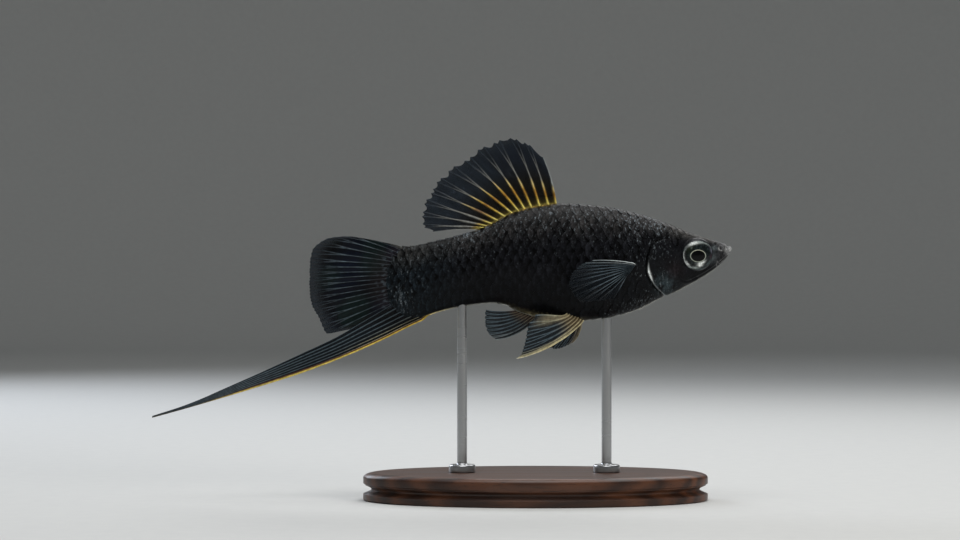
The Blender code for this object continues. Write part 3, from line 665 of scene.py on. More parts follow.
def net(rows, columns, closed):
    """The four-cornered faces of a grid of rows by columns, whose last column joins the first
    if it is closed. Also gives each corner's row and its column, the seam's counted on."""
    across = columns if closed else columns - 1
    row, column = np.meshgrid(np.arange(rows - 1), np.arange(across), indexing="ij")
    row = (row[..., None] + np.array([0, 0, 1, 1])).reshape(-1, 4)
    column = (column[..., None] + np.array([0, 1, 1, 0])).reshape(-1, 4)
    return row * columns + column % columns, row, column


def ring_lid(first, count, forwards):
    """Closes a ring that is alike on its two sides with a strip from side to side: a triangle
    at both ends and four-cornered faces between them."""
    near, far = np.arange(0, count // 2), np.arange(1, count // 2 + 1)
    quads = first + np.stack([near, far, count - far, (count - near) % count], axis=1)[1:-1]
    ends = np.array([[first, first + 1, first + count - 1],
                     [first + count // 2, first + count // 2 + 1, first + count // 2 - 1]])
    return (quads, ends) if forwards else (quads[:, ::-1], ends[:, ::-1])


def skin_grid():
    """The skin's rows, and the station and girth of each of its places. Rows stand close on the
    head, and behind the bend they fan out to end on the line of the tail's root."""
    rows = np.concatenate([
        FIRST_STATION - SNOUT_CAP + SNOUT_CAP * CAP_ROWS,
        *[np.arange(*run) for run in SKIN_ROWS], [SKIN_ROWS[-1][1]],
    ])
    girth = np.arange(SKIN_COLUMNS) * 4 / SKIN_COLUMNS
    bend = np.clip((rows - TAIL_BEND_START) / (rows[-1] - TAIL_BEND_START), 0, 1)[:, None]
    fanned = TAIL_BEND_START + (flesh_end(girth) - TAIL_BEND_START) * bend
    station = np.where(bend > 0, fanned, rows[:, None])
    return rows, station, np.broadcast_to(girth, station.shape)


def make_skin(finish):
    """One skin over head, jaw, gill covers, trunk and tail stalk, closed at the snout and where
    the tail's rays come out. It unwraps to its rows by its girth."""
    rows, station, girth = skin_grid()
    last = (len(rows) - 1) * SKIN_COLUMNS
    faces, row, column = net(len(rows), SKIN_COLUMNS, True)
    lids = [*ring_lid(0, SKIN_COLUMNS, False), *ring_lid(last, SKIN_COLUMNS, True)]
    corners = np.concatenate([lid.ravel() for lid in lids])
    row = np.concatenate([row.ravel(), corners // SKIN_COLUMNS])
    column = np.concatenate([column.ravel(), corners % SKIN_COLUMNS])
    unwrap = np.stack([np.clip(rows, 0, None)[row] / LAST_STATION, column / SKIN_COLUMNS], axis=-1)
    undisturbed = flesh(station, girth)
    mesh_of("skin", placed(skin_at(station, girth)), [faces, *lids], finish,
            ("head", "lower_jaw", "gill_cover_right", "gill_cover_left", "trunk", "tail_stalk"),
            {"pigment": pigment(undisturbed, girth)},
            {"sparkle": sparkle(undisturbed, girth), "dash": dashes(undisturbed, girth)},
            {"OFBake": unwrap, "lie": np.full_like(unwrap, OFF_SCALE)})


def scale_places():
    """The station, girth and row height of each scale. On a side, rows keep their number from
    head to tail and end at the back and the belly, and each is half a scale ahead of the next.
    One more row runs on the ridge of the back."""
    station = [FIRST_SCALE]
    while station[-1] < LAST_SCALE:
        station.append(station[-1] + float(smooth(SCALE_PITCH, station[-1])) / 2)
    numbers = np.arange(-ROWS_EACH_WAY, ROWS_EACH_WAY + 1)
    column, row = np.meshgrid(np.arange(len(station)), numbers, indexing="ij")
    keep = (column + row) % 2 == 0
    station, row = np.array(station)[column[keep]], row[keep]
    pitch = smooth(SCALE_PITCH, station) * ROW_PITCH
    arc = row * pitch
    upper, lower = quarter_length(station, UPPER), quarter_length(station, LOWER)
    inside = (arc < upper - 0.35 * pitch) & (arc > 0.9 * pitch - lower)
    girth = (1 + arc / np.where(arc >= 0, upper, lower))[inside]
    ridge = np.arange(*RIDGE_ROW)
    station = np.concatenate([station[inside], station[inside], ridge])
    girth = np.concatenate([girth, 4 - girth, np.full(len(ridge), 2.0)])
    return station, girth, smooth(SCALE_PITCH, station) * ROW_PITCH


def is_bare(station, girth, pitch):
    """Where no scale sits: round the eye, along the gill cover's edge, on the cover's lower part
    and the throat, at the pectoral fin's root, past the flesh and under the dorsal fin."""
    points = flesh(station, girth)
    up = from_belly(girth)
    gill = from_line(points, GILL_EDGE)
    cover = (points[:, 0] < COVER_BARE) | ((gill < 0) & (points[:, 0] < COVER_END))
    return (
        (from_eye(points) < EYE_BARE) | (np.abs(gill) < 0.2 + 0.85 * pitch)
        | (cover & (points[:, 2] < COVER_TOP)) | ((station < THROAT_END) & (up < THROAT_GIRTH))
        | (from_spot(points, PECTORAL_LOBE) < LOBE_BARE) | (station > flesh_end(girth) - 0.5)
        | ((np.abs(up - 2) < RIDGE_HALF) & (station > DORSAL_START) & (station < DORSAL_END))
    )


def scale_plate():
    """One scale's places as (back, across) in shares of what shows of it, and its faces: a middle,
    rings of corners round it, and the outer ring once more for its underside."""
    corner = np.arange(SCALE_CORNERS) * 2 * math.pi / SCALE_CORNERS
    reach = np.where(np.cos(corner) > 0, SCALE_REAR, SCALE_FRONT)
    edge = np.stack([reach * np.cos(corner), SCALE_SIDE * np.sin(corner)], axis=1)
    lie = np.concatenate([[[0.0, 0.0]], *[edge * ring for ring in (*SCALE_RINGS, 1.0)]])
    near = 1 + np.arange(SCALE_CORNERS)
    far = 1 + near % SCALE_CORNERS
    middle = np.stack([0 * near, near, far], axis=1)
    band = np.stack([near, near + SCALE_CORNERS, far + SCALE_CORNERS, far], axis=1)
    bands = np.concatenate([band + ring * SCALE_CORNERS for ring in range(len(SCALE_RINGS))])
    under = (near + len(SCALE_RINGS) * SCALE_CORNERS)[::-1][None]
    return lie, (middle, bands, under)


def make_scales(finish):
    """The coat: thin rounded plates, their front edges sunk in the skin and their rear edges
    lifted off it, so that each lies over the ones behind it as roof tiles do."""
    draw = np.random.default_rng(5)
    station, girth, pitch = scale_places()
    keep = ~is_bare(station, girth, pitch)
    station, girth, pitch = station[keep], girth[keep], pitch[keep]
    count = len(station)
    lie, plate = scale_plate()
    turn = draw.normal(0, 0.05, count)[:, None]
    size = draw.normal(1, 0.035, count)[:, None]
    back = (lie[:, 0] * np.cos(turn) - lie[:, 1] * np.sin(turn)) * size
    across = (lie[:, 0] * np.sin(turn) + lie[:, 1] * np.cos(turn)) * size

    from_front = lie[:, 0] + SCALE_FRONT
    slope = (SCALE_LIFT + SCALE_SUNK) / (SCALE_REAR + SCALE_FRONT)
    lift = slope * from_front - SCALE_SUNK + 0.02 * (1 - lie[:, 1] ** 2)
    lift = lift * (0.55 + 0.45 * rise(station, 12, 20))[:, None]
    lift = lift + draw.normal(0, 0.008, count)[:, None] * from_front
    lift[:, -SCALE_CORNERS:] -= SCALE_THICKNESS

    mirror = np.where(np.mod(girth, 4) <= 2, 1, -1)[:, None]
    upper, lower = quarter_length(station, UPPER), quarter_length(station, LOWER)
    quarter = np.where(from_belly(girth) >= 1, upper, lower)
    round_at = girth[:, None] + mirror * across * (pitch / quarter)[:, None]
    at = station[:, None] + back * smooth(SCALE_PITCH, station)[:, None]
    at = np.minimum(at, flesh_end(round_at) - 0.05)

    start = (np.arange(count) * len(lie))[:, None, None]
    kinds = [np.where(mirror[:, :, None] > 0, start + kind[:, ::-1], start + kind).reshape(-1, kind.shape[1])
             for kind in plate]
    corners = np.concatenate([kind.ravel() for kind in kinds])
    root = np.stack([station / LAST_STATION, np.mod(girth, 4) / 4], axis=1)[:, None, :]
    undisturbed = flesh(at, round_at)
    shade = draw.normal(1, 0.13, count)[:, None, None]
    strength = np.clip(draw.normal(0.85, 0.2, count), 0.2, 1)[:, None]
    mesh_of("scales", placed(skin_at(at, round_at, lift)), kinds, finish, (),
            {"pigment": np.clip(pigment(undisturbed, round_at) * shade, DEEPEST, 1)},
            {"sparkle": sparkle(undisturbed, round_at), "dash": dashes(undisturbed, round_at) * strength},
            {"OFBake": (root + HALF_PATCH * lie).reshape(-1, 2)[corners],
             "lie": np.tile(lie, (count, 1))[corners]}, 50)


# Fins

def fanned(root, tips, bow, leave=None):
    """The rays of a fin by their share of all of them, each a cubic curve from its root to its
    tip. A ray sets out towards its tip, leans to its leave vector if the fin has one, and is
    pulled aside by its bow."""
    def curve(share, v):
        start, tip, pull = root(share), along(tips, share), along(bow, share)
        reach = (tip - start) / 3
        first = start + (reach + pull if leave is None else (reach + pull) / 2 + leave(share))
        second = tip + pull - reach
        start, first, second, tip = (end[:, None, :] for end in (start, first, second, tip))
        v = v[..., None]
        return (1 - v) ** 3 * start + 3 * v * (1 - v) * ((1 - v) * first + v * second) + v ** 3 * tip
    return curve


def off_branch(place, rays, v, forks):
    """How far each place is from the nearest branch of a ray, in shares of the rays' spacing.
    place counts the rays from the first. At each fork a ray opens in two, that share of the
    spacing to each side, and the outermost rays stay whole."""
    nearest = np.round(place)
    off = np.abs(place - nearest)
    branched = (nearest > 0) & (nearest < rays - 1)
    for apart, start, end in forks:
        off = np.abs(off - branched * apart * rise(v, start, end))
    return off


def margin_cut(mould, place, length):
    """The share of its length that each line loses at the margin: least at the tips of the
    branches, more between them, and unevenly from ray to ray."""
    rays = mould["grid"][0]
    draw = np.random.default_rng(mould["seed"])
    off_tip = off_branch(place, rays, np.ones((1, 1)), mould["forks"])
    tooth = (1 - np.clip(off_tip / TOOTH_REACH, 0, 1)) ** TOOTH_POWER
    uneven = np.interp(place, np.arange(2 * rays) / 2, draw.uniform(-0.8, 0.3, 2 * rays))
    return mould["notch"] * (1 - tooth - uneven) / length


def ray_ridges(mould, place, v, spacing):
    """1 along the middle of each ray, falling off as a bell of the ray's width. A ray swells
    after its root and thins outwards, the outermost are stouter, and none fills its room."""
    rays, per_ray, _ = mould["grid"]
    swollen = 1 + mould["swell"] * rise(v, 0, 0.2) * fall(v, 0.38, 0.5)
    stout = np.where(np.abs(place - (rays - 1) / 2) > (rays - 2) / 2, mould["stout"], 1)
    width = mould["width"] * stout * swollen * (1 - mould["thin"] / stout * rise(v, 0.25, 0.6))
    width = np.maximum(np.minimum(width, WIDEST_RAY * spacing), FINEST_RAY * spacing / per_ray)
    return hump(off_branch(place, rays, v, mould["forks"]) * spacing, width)


def shell(middle, half):
    """The points and faces of a plate: a face half its thickness to each side of its middle
    surface, and a strip round the edge that joins them."""
    columns, rows, _ = middle.shape
    total = columns * rows
    index = np.arange(total).reshape(columns, rows)
    one = np.stack([index[:-1, :-1], index[1:, :-1], index[1:, 1:], index[:-1, 1:]], axis=-1).reshape(-1, 4)
    rim = np.concatenate([index[:-1, 0], index[-1, :-1], index[:0:-1, -1], index[0, :0:-1]])
    after = np.roll(rim, -1)
    edge = np.stack([after, rim, rim + total, after + total], axis=1)
    return np.stack([middle + half, middle - half]), [one, one[:, ::-1] + total, edge]


def make_fin(name, curve, mould, finish):
    """One fin: its middle surface from the rays' curves, with the margin drawn back between
    the rays, then a face to each side of it, thick on the rays and thin on the membrane. The
    thickness falls towards the tips and inside the flesh."""
    rays, per_ray, rows = mould["grid"]
    share = np.linspace(0, 1, (rays - 1) * per_ray + 1)
    place = share[:, None] * (rays - 1)
    v = np.linspace(-mould["sunk"], 1, rows)[None, :]
    plain = curve(share, np.broadcast_to(v, (len(share), rows)))
    spacing = np.linalg.norm(np.diff(plain, axis=0), axis=-1) * per_ray
    spacing = np.concatenate([spacing, spacing[-1:]])
    length = np.linalg.norm(np.diff(plain, axis=1), axis=-1).sum(axis=1)[:, None]
    cut = margin_cut(mould, place, length)
    v = np.where(v > 0, v * (1 - cut), v)
    middle = curve(share, v)
    on_ray = ray_ridges(mould, place, v, spacing)
    out = unit(np.cross(np.gradient(middle, axis=1), np.gradient(middle, axis=0)))
    sag = mould["sag"] * (1 - on_ray) * rise(v, 0.05, 0.5) * np.cos(place * math.pi)
    wave = mould["wave"] * rise(v, 0, 1) * waves(middle, mould["wave_size"], mould["seed"] + 1)
    middle = middle + out * (sag + wave)[..., None]

    bare = mould["membrane"] + (mould["root"] - mould["membrane"]) * fall(v, 0, 0.16)
    ray = mould["ray"] * (1 - TIP_LOSS * rise(v, 0, 1)) * on_ray
    margin = 1 - MARGIN_LOSS * rise(v / (1 - cut), 0.96, 1)
    thick = (bare + ray) * margin * (1 - SUNK_LOSS * rise(-v, 0, mould["sunk"]))
    points, faces = shell(middle, out * thick[..., None] / 2)

    tint, cover = mould["colours"](share[:, None], np.clip(v, 0, 1), on_ray, middle)
    streaks = waves(np.stack(np.broadcast_arrays(9 * place, 3 * v, 0 * v), axis=-1), 2.0, mould["seed"] + 2)
    tint = tint * (1 + 0.3 * streaks * (1 - on_ray))[..., None]
    unwrap = np.stack(np.broadcast_arrays(share[:, None], v), axis=-1).reshape(-1, 2)
    unwrap = np.concatenate([unwrap * MAP_FILLED, unwrap * MAP_FILLED + np.array([0.5, 0])]) + MAP_EDGE
    corners = np.concatenate([kind.ravel() for kind in faces])
    numbers = {"cover": cover, "on_ray": on_ray, "run": v * length}
    numbers = {title: np.stack([values, values]) for title, values in numbers.items()}
    mesh_of(f"{name}_rayed", placed(points), faces, finish, (name,),
            {"tint": np.stack([tint, tint])}, numbers, {"OFBake": unwrap[corners]})


# Colours of the fins. Each function takes the share of the rays, the share of a ray's length,
# how much of a ray is there and the place, and gives the tint and how far it covers what is
# behind it, 0 to 1

FIN_TONES = {name: paint(code) for name, code in {
    "gold": "#ccab47", "amber": "#a4722f", "ash": "#858681", "smoke": "#1f262e", "ink": "#05070a",
    "navy": "#070e1c", "teal": "#0a1918", "lemon": "#e4d372", "steel": "#535e67", "dusk": "#12181e",
    "slate": "#192128", "straw": "#e6dcae", "cream": "#aea282", "white": "#d3dcdd", "earth": "#0f0c07",
    "rust": "#6a2e1b", "mist": "#64747d", "olive": "#5f511c", "plum": "#3c3030",
}.items()}


def dorsal_colours(share, v, on_ray, _):
    """Rays golden to two fifths of their length with an amber stretch in it, then thin and
    ash-grey. The first is pale all along, and the rearmost are grey from near the root. The
    membrane is brownish black inside, smoky blue outside, with a lemon glow at the rays' feet."""
    end = 0.3 + 0.17 * rise(share, 0.1, 0.5)
    after_first = rise(share, 0.02, 0.05)
    ray = lay(
        FIN_TONES, "lemon",
        ("gold", rise(v, 0.03, 0.12)), ("amber", 0.85 * hump(v - 0.6 * end, 0.08)),
        ("straw", 0.5 * hump(v - end, 0.06)), ("ash", rise(v - end, 0, 0.1)),
        ("rust", 0.5 * hump(share - 0.667, 0.03) * hump(v - 0.25, 0.12)),
        ("ash", rise(share, 0.62, 0.76) * rise(v, 0.06, 0.2)),
        ("white", 0.8 * (1 - after_first) * rise(v, 0.3, 0.5)),
        ("steel", rise(v, 0.7, 0.95) * after_first),
    )
    place = share * (DORSAL_RAYS - 1)
    at_foot = hump(place - np.round(place), 0.13)
    glow = fall(v, 0.0, 0.07) * at_foot + 0.3 * fall(v, 0.0, 0.022)
    skin = lay(
        FIN_TONES, "earth",
        ("smoke", rise(v + 0.25 * share, 0.35, 0.85)),
        ("navy", 0.6 * hump(v - 0.7, 0.2) * fall(share, 0.2, 0.5)),
        ("olive", 0.3 * fall(v, 0.0, 0.12)), ("lemon", 0.8 * np.clip(glow, 0, 1)),
    )
    seen = 0.9 + 0.1 * np.clip(on_ray + fall(v, 0, 0.3), 0, 1)
    strong = np.clip(1.15 * on_ray, 0, 1) * (1 - 0.82 * rise(v, 0.48, 0.86) * after_first)
    return mix(skin, ray, strong), seen - 0.14 * (1 - on_ray) * rise(v, 0.85, 1)


def fan_colours(share, v, on_ray, middle):
    """Thin pale lines on an inky membrane with navy and teal clouds that pales to a smoky,
    clearer margin. The lines carry painted glints, brightest at mid-length and broken into
    bright and dull stretches. The upper edge is pale."""
    # Painted glints: bright and dull stretches along the rays
    broken = np.clip(waves(middle, 3.0, 63) + 0.7 * waves(middle, 1.1, 65), -1, 1)
    # Painted glints: the rays are brightest at mid-length
    strong = (0.3 + 0.6 * rise(v, 0.1, 0.4)) * (1 - 0.85 * rise(v, 0.68, 0.93))
    colour = lay(
        FIN_TONES, "ink",
        ("navy", rise(waves(middle, 13.0, 61), -0.5, 0.7)),
        ("teal", 0.8 * rise(waves(middle, 10.0, 62), -0.2, 0.8)),
        ("plum", 0.2 * fall(v, 0.05, 0.3)), ("smoke", rise(v, 0.8, 0.96)),
        ("steel", 0.6 * rise(waves(middle, 0.9, 64), 0.2, 0.8) * fall(v, 0.03, 0.16)),
        (lay(FIN_TONES, "mist", ("steel", rise(v, 0.5, 0.9))), strong * (0.62 + 0.38 * broken) * on_ray),
        ("ash", 0.4 * fall(share, 0.01, 0.05)),
    )
    return colour, 0.98 - 0.28 * rise(v, 0.7, 0.97) * (1 - on_ray)


def sword_colours(share, v, on_ray, middle):
    """Pale lines on a dusky membrane over a golden lower edge with a lemon core, which a thin
    rusty line bounds."""
    ray = lay(FIN_TONES, "mist", ("straw", 0.7 * rise(share, 0.5, 0.8) * fall(v, 0.12, 0.35)))
    golden = (1 - 0.9 * rise(v, 0.62, 0.86)) * rise(middle[..., 0], 52.5, 56)
    off = np.linalg.norm(middle - middle[-1:], axis=-1) / (1 - 0.6 * rise(v, 0.4, 0.9))
    core = (0.5 + 0.5 * rise(v, 0.1, 0.25)) * hump(off - 0.2, 0.17)
    colour = lay(
        FIN_TONES, "ink",
        ("dusk", rise(v, 0.02, 0.2)), (lay(FIN_TONES, "plum", ("steel", 0.6)), 0.7 * rise(v, 0.4, 0.85)),
        (ray, (0.5 + 0.4 * rise(v, 0.02, 0.1)) * on_ray), ("rust", 0.85 * hump(off - 0.62, 0.13) * golden),
        ("gold", fall(off, 0.36, 0.56) * golden), ("lemon", 0.95 * core * golden),
    )
    return colour, 0.93 + 0.07 * np.clip(on_ray + share, 0, 1)


def anal_colours(share, v, on_ray, _):
    """Pale rays, creamy at the root and along the first ray, on a slate membrane."""
    ray = lay(
        FIN_TONES, "cream",
        ("plum", 0.45), ("mist", rise(v, 0.05, 0.35)),
        ("white", 0.5 * fall(share, 0.0, 0.3) * rise(v, 0.1, 0.4)),
    )
    skin = lay(FIN_TONES, "plum", ("slate", rise(v, 0, 0.35)), ("dusk", rise(v, 0.5, 1)))
    return mix(skin, ray, 0.9 * on_ray), 0.8 + 0.2 * np.clip(on_ray + fall(v, 0, 0.25), 0, 1)


def pectoral_colours(share, v, on_ray, _):
    """A clear bluish membrane with mist-grey rays that fade towards the margin, the first ones
    almost white."""
    ray = lay(
        FIN_TONES, "white",
        ("mist", np.clip(rise(share, 0.02, 0.16) + 0.5 * rise(v, 0.35, 1), 0, 1)),
        ("steel", rise(v, 0.3, 0.8) * rise(share, 0.1, 0.5)),
    )
    skin = lay(
        FIN_TONES, "dusk",
        ("slate", 0.7 * hump(v - 0.45, 0.25)), ("ink", 0.7 * rise(share + 0.3 * v, 0.5, 1)),
    )
    later = rise(share, 0.06, 0.3)
    strong = 0.8 * (1 - 0.95 * rise(v, 0.5, 0.88) * later) * (1 - 0.6 * later * fall(v, 0.12, 0.4))
    strong = strong * (1 - 0.45 * rise(share, 0.7, 1))
    return mix(skin, ray, strong * on_ray), 0.7 + 0.3 * np.clip(on_ray + fall(v, 0, 0.2), 0, 1)


def pelvic_colours(share, v, on_ray, middle):
    """A bright straw first ray, duller on the left fin as painted shade, and pale rays on a slate
    membrane that is olive at the root."""
    # Painted shade: the left fin's first ray is duller
    left = rise(middle[..., 1], -0.1, 0.1)
    first = lay(FIN_TONES, "straw", (lay(FIN_TONES, "cream", ("plum", 0.3)), left))
    folded = rise(share, 0.68, 0.88) * fall(v, 0.5, 1)
    ray = lay(
        FIN_TONES, first,
        (lay(FIN_TONES, "cream", ("mist", rise(v, 0.1, 0.5))), rise(share, 0.05, 0.3)),
        ("straw", 0.5 * folded), ("white", 0.6 * fall(share, 0.05, 0.2) * rise(v, 0.6, 0.9)),
    )
    skin = lay(
        FIN_TONES, "olive",
        ("plum", 0.6), ("slate", rise(v, 0.08, 0.4)),
        (first, 0.75 * fall(share, 0.04, 0.15) * rise(v, 0.1, 0.35)),
        ("rust", 0.4 * hump(share - 0.17, 0.025) * hump(v - 0.45, 0.25)), ("cream", 0.5 * folded),
    )
    return mix(skin, ray, 0.85 * on_ray), 0.85 + 0.15 * np.clip(on_ray + fall(v, 0, 0.3), 0, 1)


# What each fin is moulded by. grid: its rays, the columns from one ray to the next, and the
# rows. sunk: the share of a ray's length that lies in the flesh. forks: how far a fork's branches
# part and where along the ray. width: half a ray's width, then the shares by which it swells
# and thins, and how many times as stout the outermost rays are. notch: the depth of the
# margin's notches. sag: of the membrane from ray to ray. wave and wave_size: the fin's slow
# ups and downs. membrane, root and ray: how thick the membrane is, how thick the fin is at
# its root, and what a ray adds

SMALL_FIN = dict(
    width=0.11, swell=0.3, thin=0.3, stout=2.0, notch=0.25, sag=0.03, wave=0.15, wave_size=8,
    membrane=0.11, root=0.5, ray=0.28)
MOULDS = {
    "dorsal_fin": SMALL_FIN | dict(
        seed=21, grid=(DORSAL_RAYS, 36, 72), sunk=0.09, forks=((0.2, 0.4, 1.1),), width=0.15, swell=0.15,
        thin=0.6, stout=1.7, notch=0.55, wave=0.3, wave_size=16, ray=0.36, colours=dorsal_colours),
    "tail_fin": SMALL_FIN | dict(
        seed=22, grid=(19, 20, 72), sunk=0.14, forks=((0.24, 0.5, 0.95),), width=0.066, swell=0.0,
        thin=0.2, notch=0.16, wave=0.25, wave_size=14, root=0.45, ray=0.3, colours=fan_colours),
    "sword": SMALL_FIN | dict(
        seed=23, grid=(8, 12, 240), sunk=0.03, forks=(), width=0.08, swell=0.0, thin=0.0, stout=1.0,
        notch=0.0, sag=0.02, wave=0.1, wave_size=25, membrane=0.16, root=0.45, ray=0.34,
        colours=sword_colours),
    "anal_fin": SMALL_FIN | dict(
        seed=24, grid=(9, 16, 44), sunk=0.14, forks=((0.22, 0.4, 1.0),), thin=0.35, colours=anal_colours),
    "pectoral_fin": SMALL_FIN | dict(
        seed=25, grid=(12, 20, 60), sunk=0.1, forks=((0.22, 0.45, 1.0),), width=0.08, swell=0.2, thin=0.2,
        stout=2.5, notch=0.3, wave=0.2, wave_size=9, membrane=0.09, ray=0.24, colours=pectoral_colours),
    "pelvic_fin": SMALL_FIN | dict(
        seed=26, grid=(7, 18, 52), sunk=0.12, forks=((0.24, 0.3, 0.9),), colours=pelvic_colours),
}


def on_ridge(line, root, lift):
    """Fin roots along the back or the belly, a little off it."""
    def at(share):
        station = smooth(root, share)
        return np.stack([station, 0 * station, smooth(line, station) + lift], axis=-1)
    return at


def on_tail_root(share):
    """Fin roots along the end of the tail stalk, by their share of its whole length."""
    points = np.array(TAIL_ROOT, float)
    edge = np.diff(points, axis=0)
    out = np.stack([-edge[:, 1], edge[:, 0]], axis=1) / np.hypot(*edge.T)[:, None]
    corner = np.concatenate([out[:1], out[1:] + out[:-1], out[-1:]])
    points += GAP * corner / np.hypot(*corner.T)[:, None]
    length = np.concatenate([[0], np.cumsum(np.hypot(*np.diff(points, axis=0).T))])
    station, height = (np.interp(share, length / length[-1], column) for column in points.T)
    return np.stack([station, 0 * station, height], axis=-1)


def sword_curve(share, v):
    """The sword's rays: the station goes evenly from the root to the tip, and the height keeps
    each ray's share of the room between the upper and lower edge, from its share at the root
    by the cube of what is left to go. Ahead of the root the lowest rays rise into the flesh."""
    root = on_tail_root(SWORD_SHARE + (1 - SWORD_SHARE) * share)[:, None, :]
    share = share[:, None]
    station = root[..., 0] + (OVERALL_LENGTH - root[..., 0]) * v
    upper, lower = smooth(SWORD_UPPER, station), smooth(SWORD_LOWER, station)
    at_root = smooth(SWORD_UPPER, root[..., 0]), smooth(SWORD_LOWER, root[..., 0])
    start = (root[..., 2] - at_root[0]) / (at_root[1] - at_root[0])
    depth = share + (start - share) * (1 - v) ** 3
    sunk = SWORD_RISE * np.clip(-v, 0, None) * rise(share, 0.8, 1)
    return np.stack([station, 0 * station, upper + (lower - upper) * depth + sunk], axis=-1)


def on_flank(root, side, tips, bow):
    """The rays of a fin on one side of the body. They leave a straight line on the flank
    straight outwards."""
    def foot(share):
        station, height = (start + (end - start) * share for start, end in zip(*root))
        return flank(station, height, side)
    mirror = np.array([1, 1, side, 1])
    return fanned(
        lambda share: foot(share)[0] + foot(share)[1] * GAP, np.array(tips) * mirror,
        np.array(bow) * mirror, lambda share: foot(share)[1] * PAIRED_LEAVE)


def make_fins(finish):
    """Dorsal, tail, sword and anal fin in the middle plane, and the two pairs."""
    dorsal = fanned(on_ridge(BACK_LINE, DORSAL_ROOT, GAP), DORSAL_TIPS, DORSAL_BOW)
    tail = fanned(lambda share: on_tail_root(share * FAN_SHARE), FAN_TIPS, FAN_BOW)
    anal = fanned(on_ridge(BELLY_LINE, ANAL_ROOT, -GAP), ANAL_TIPS, ANAL_BOW)
    single = {"dorsal_fin": dorsal, "tail_fin": tail, "sword": sword_curve, "anal_fin": anal}
    for name, curve in single.items():
        make_fin(name, curve, MOULDS[name], finish)
    pairs = {
        "pectoral_fin": (PECTORAL_ROOT, (PECTORAL_TIPS, PECTORAL_BOW), (PECTORAL_TIPS, PECTORAL_BOW)),
        "pelvic_fin": (
            PELVIC_ROOT, (PELVIC_RIGHT_TIPS, PELVIC_RIGHT_BOW), (PELVIC_LEFT_TIPS, PELVIC_LEFT_BOW)),
    }
    for name, (root, right, left) in pairs.items():
        make_fin(f"{name}_right", on_flank(root, -1, *right), MOULDS[name], finish)
        make_fin(f"{name}_left", on_flank(root, 1, *left), MOULDS[name], finish)


# Eyes

EYE_TONES = {name: paint(code) for name, code in {
    "pupil": "#020203", "lid": "#15181b", "dark": "#0e1314", "moss": "#1d2418", "cream": "#c9cbb4",
    "white": "#e6ecea", "silver": "#97a19f", "violet": "#6a6a78", "teal": "#3c494b", "plum": "#2b1f26",
    "ring": "#b9c1b4",
}.items()}


def eye_front(r, t):
    """The eye's front at each distance and turn from its axis: its colour and its height. The
    patches of the iris are bells of angle and radius. The ring is raised a little, and the
    pupil is a low dome."""
    across, high = r * np.cos(t), r * np.sin(t) + EYE_DROP
    pupil = np.hypot((across + PUPIL_BACK) / PUPIL[0], (high + PUPIL_DROP) / PUPIL[1])
    iris = np.hypot(across / IRIS[0], high / IRIS[1])
    angle = np.arctan2(high / IRIS[1], across / IRIS[0])
    grain = waves(np.stack([2.2 * across, 2.2 * high, 0 * r], axis=-1), 1.1, 31)
    strokes = waves(np.stack([0.8 * r, 7 * np.cos(angle), 7 * np.sin(angle)], axis=-1), 1.0, 32)
    layers, gleam = [], 0 * r
    for at, half, out_at, width, name, strength in IRIS_PATCHES:
        off = np.angle(np.exp(1j * (angle - math.radians(at))))
        patch = strength * hump(off, math.radians(half)) * hump(iris + 0.02 * grain - out_at, width)
        layers.append((name, np.clip(patch * (1.25 + 0.35 * strokes), 0, 1)))
        gleam = gleam + layers[-1][1]
    colour = lay(
        EYE_TONES, "dark",
        ("teal", 0.35 * rise(strokes + 0.5 * grain, -0.2, 1.0)), *layers,
        (lay(EYE_TONES, "ring", ("cream", rise(high, 0, 1))), 0.9 * hump(pupil - RING_AT, 0.055)),
        ("pupil", rise(1.05 - pupil, 0, 0.05)), ("lid", rise(iris, 0.985, 1.03)),
    )
    front = EYE_HALF_DEPTH * np.sqrt(1 - (r / EYE_RADIUS) ** 2) - 0.05
    front = front + 0.03 * hump(pupil - RING_AT, 0.06) + 0.015 * np.clip(gleam, 0, 1)
    front = front - 0.05 * rise(pupil, 1.13, 1.25) * fall(iris, 0.8, 0.97)
    return colour, front - 0.04 * rise(1.04 - pupil, 0, 0.08) + 0.05 * hump(pupil, 0.7)


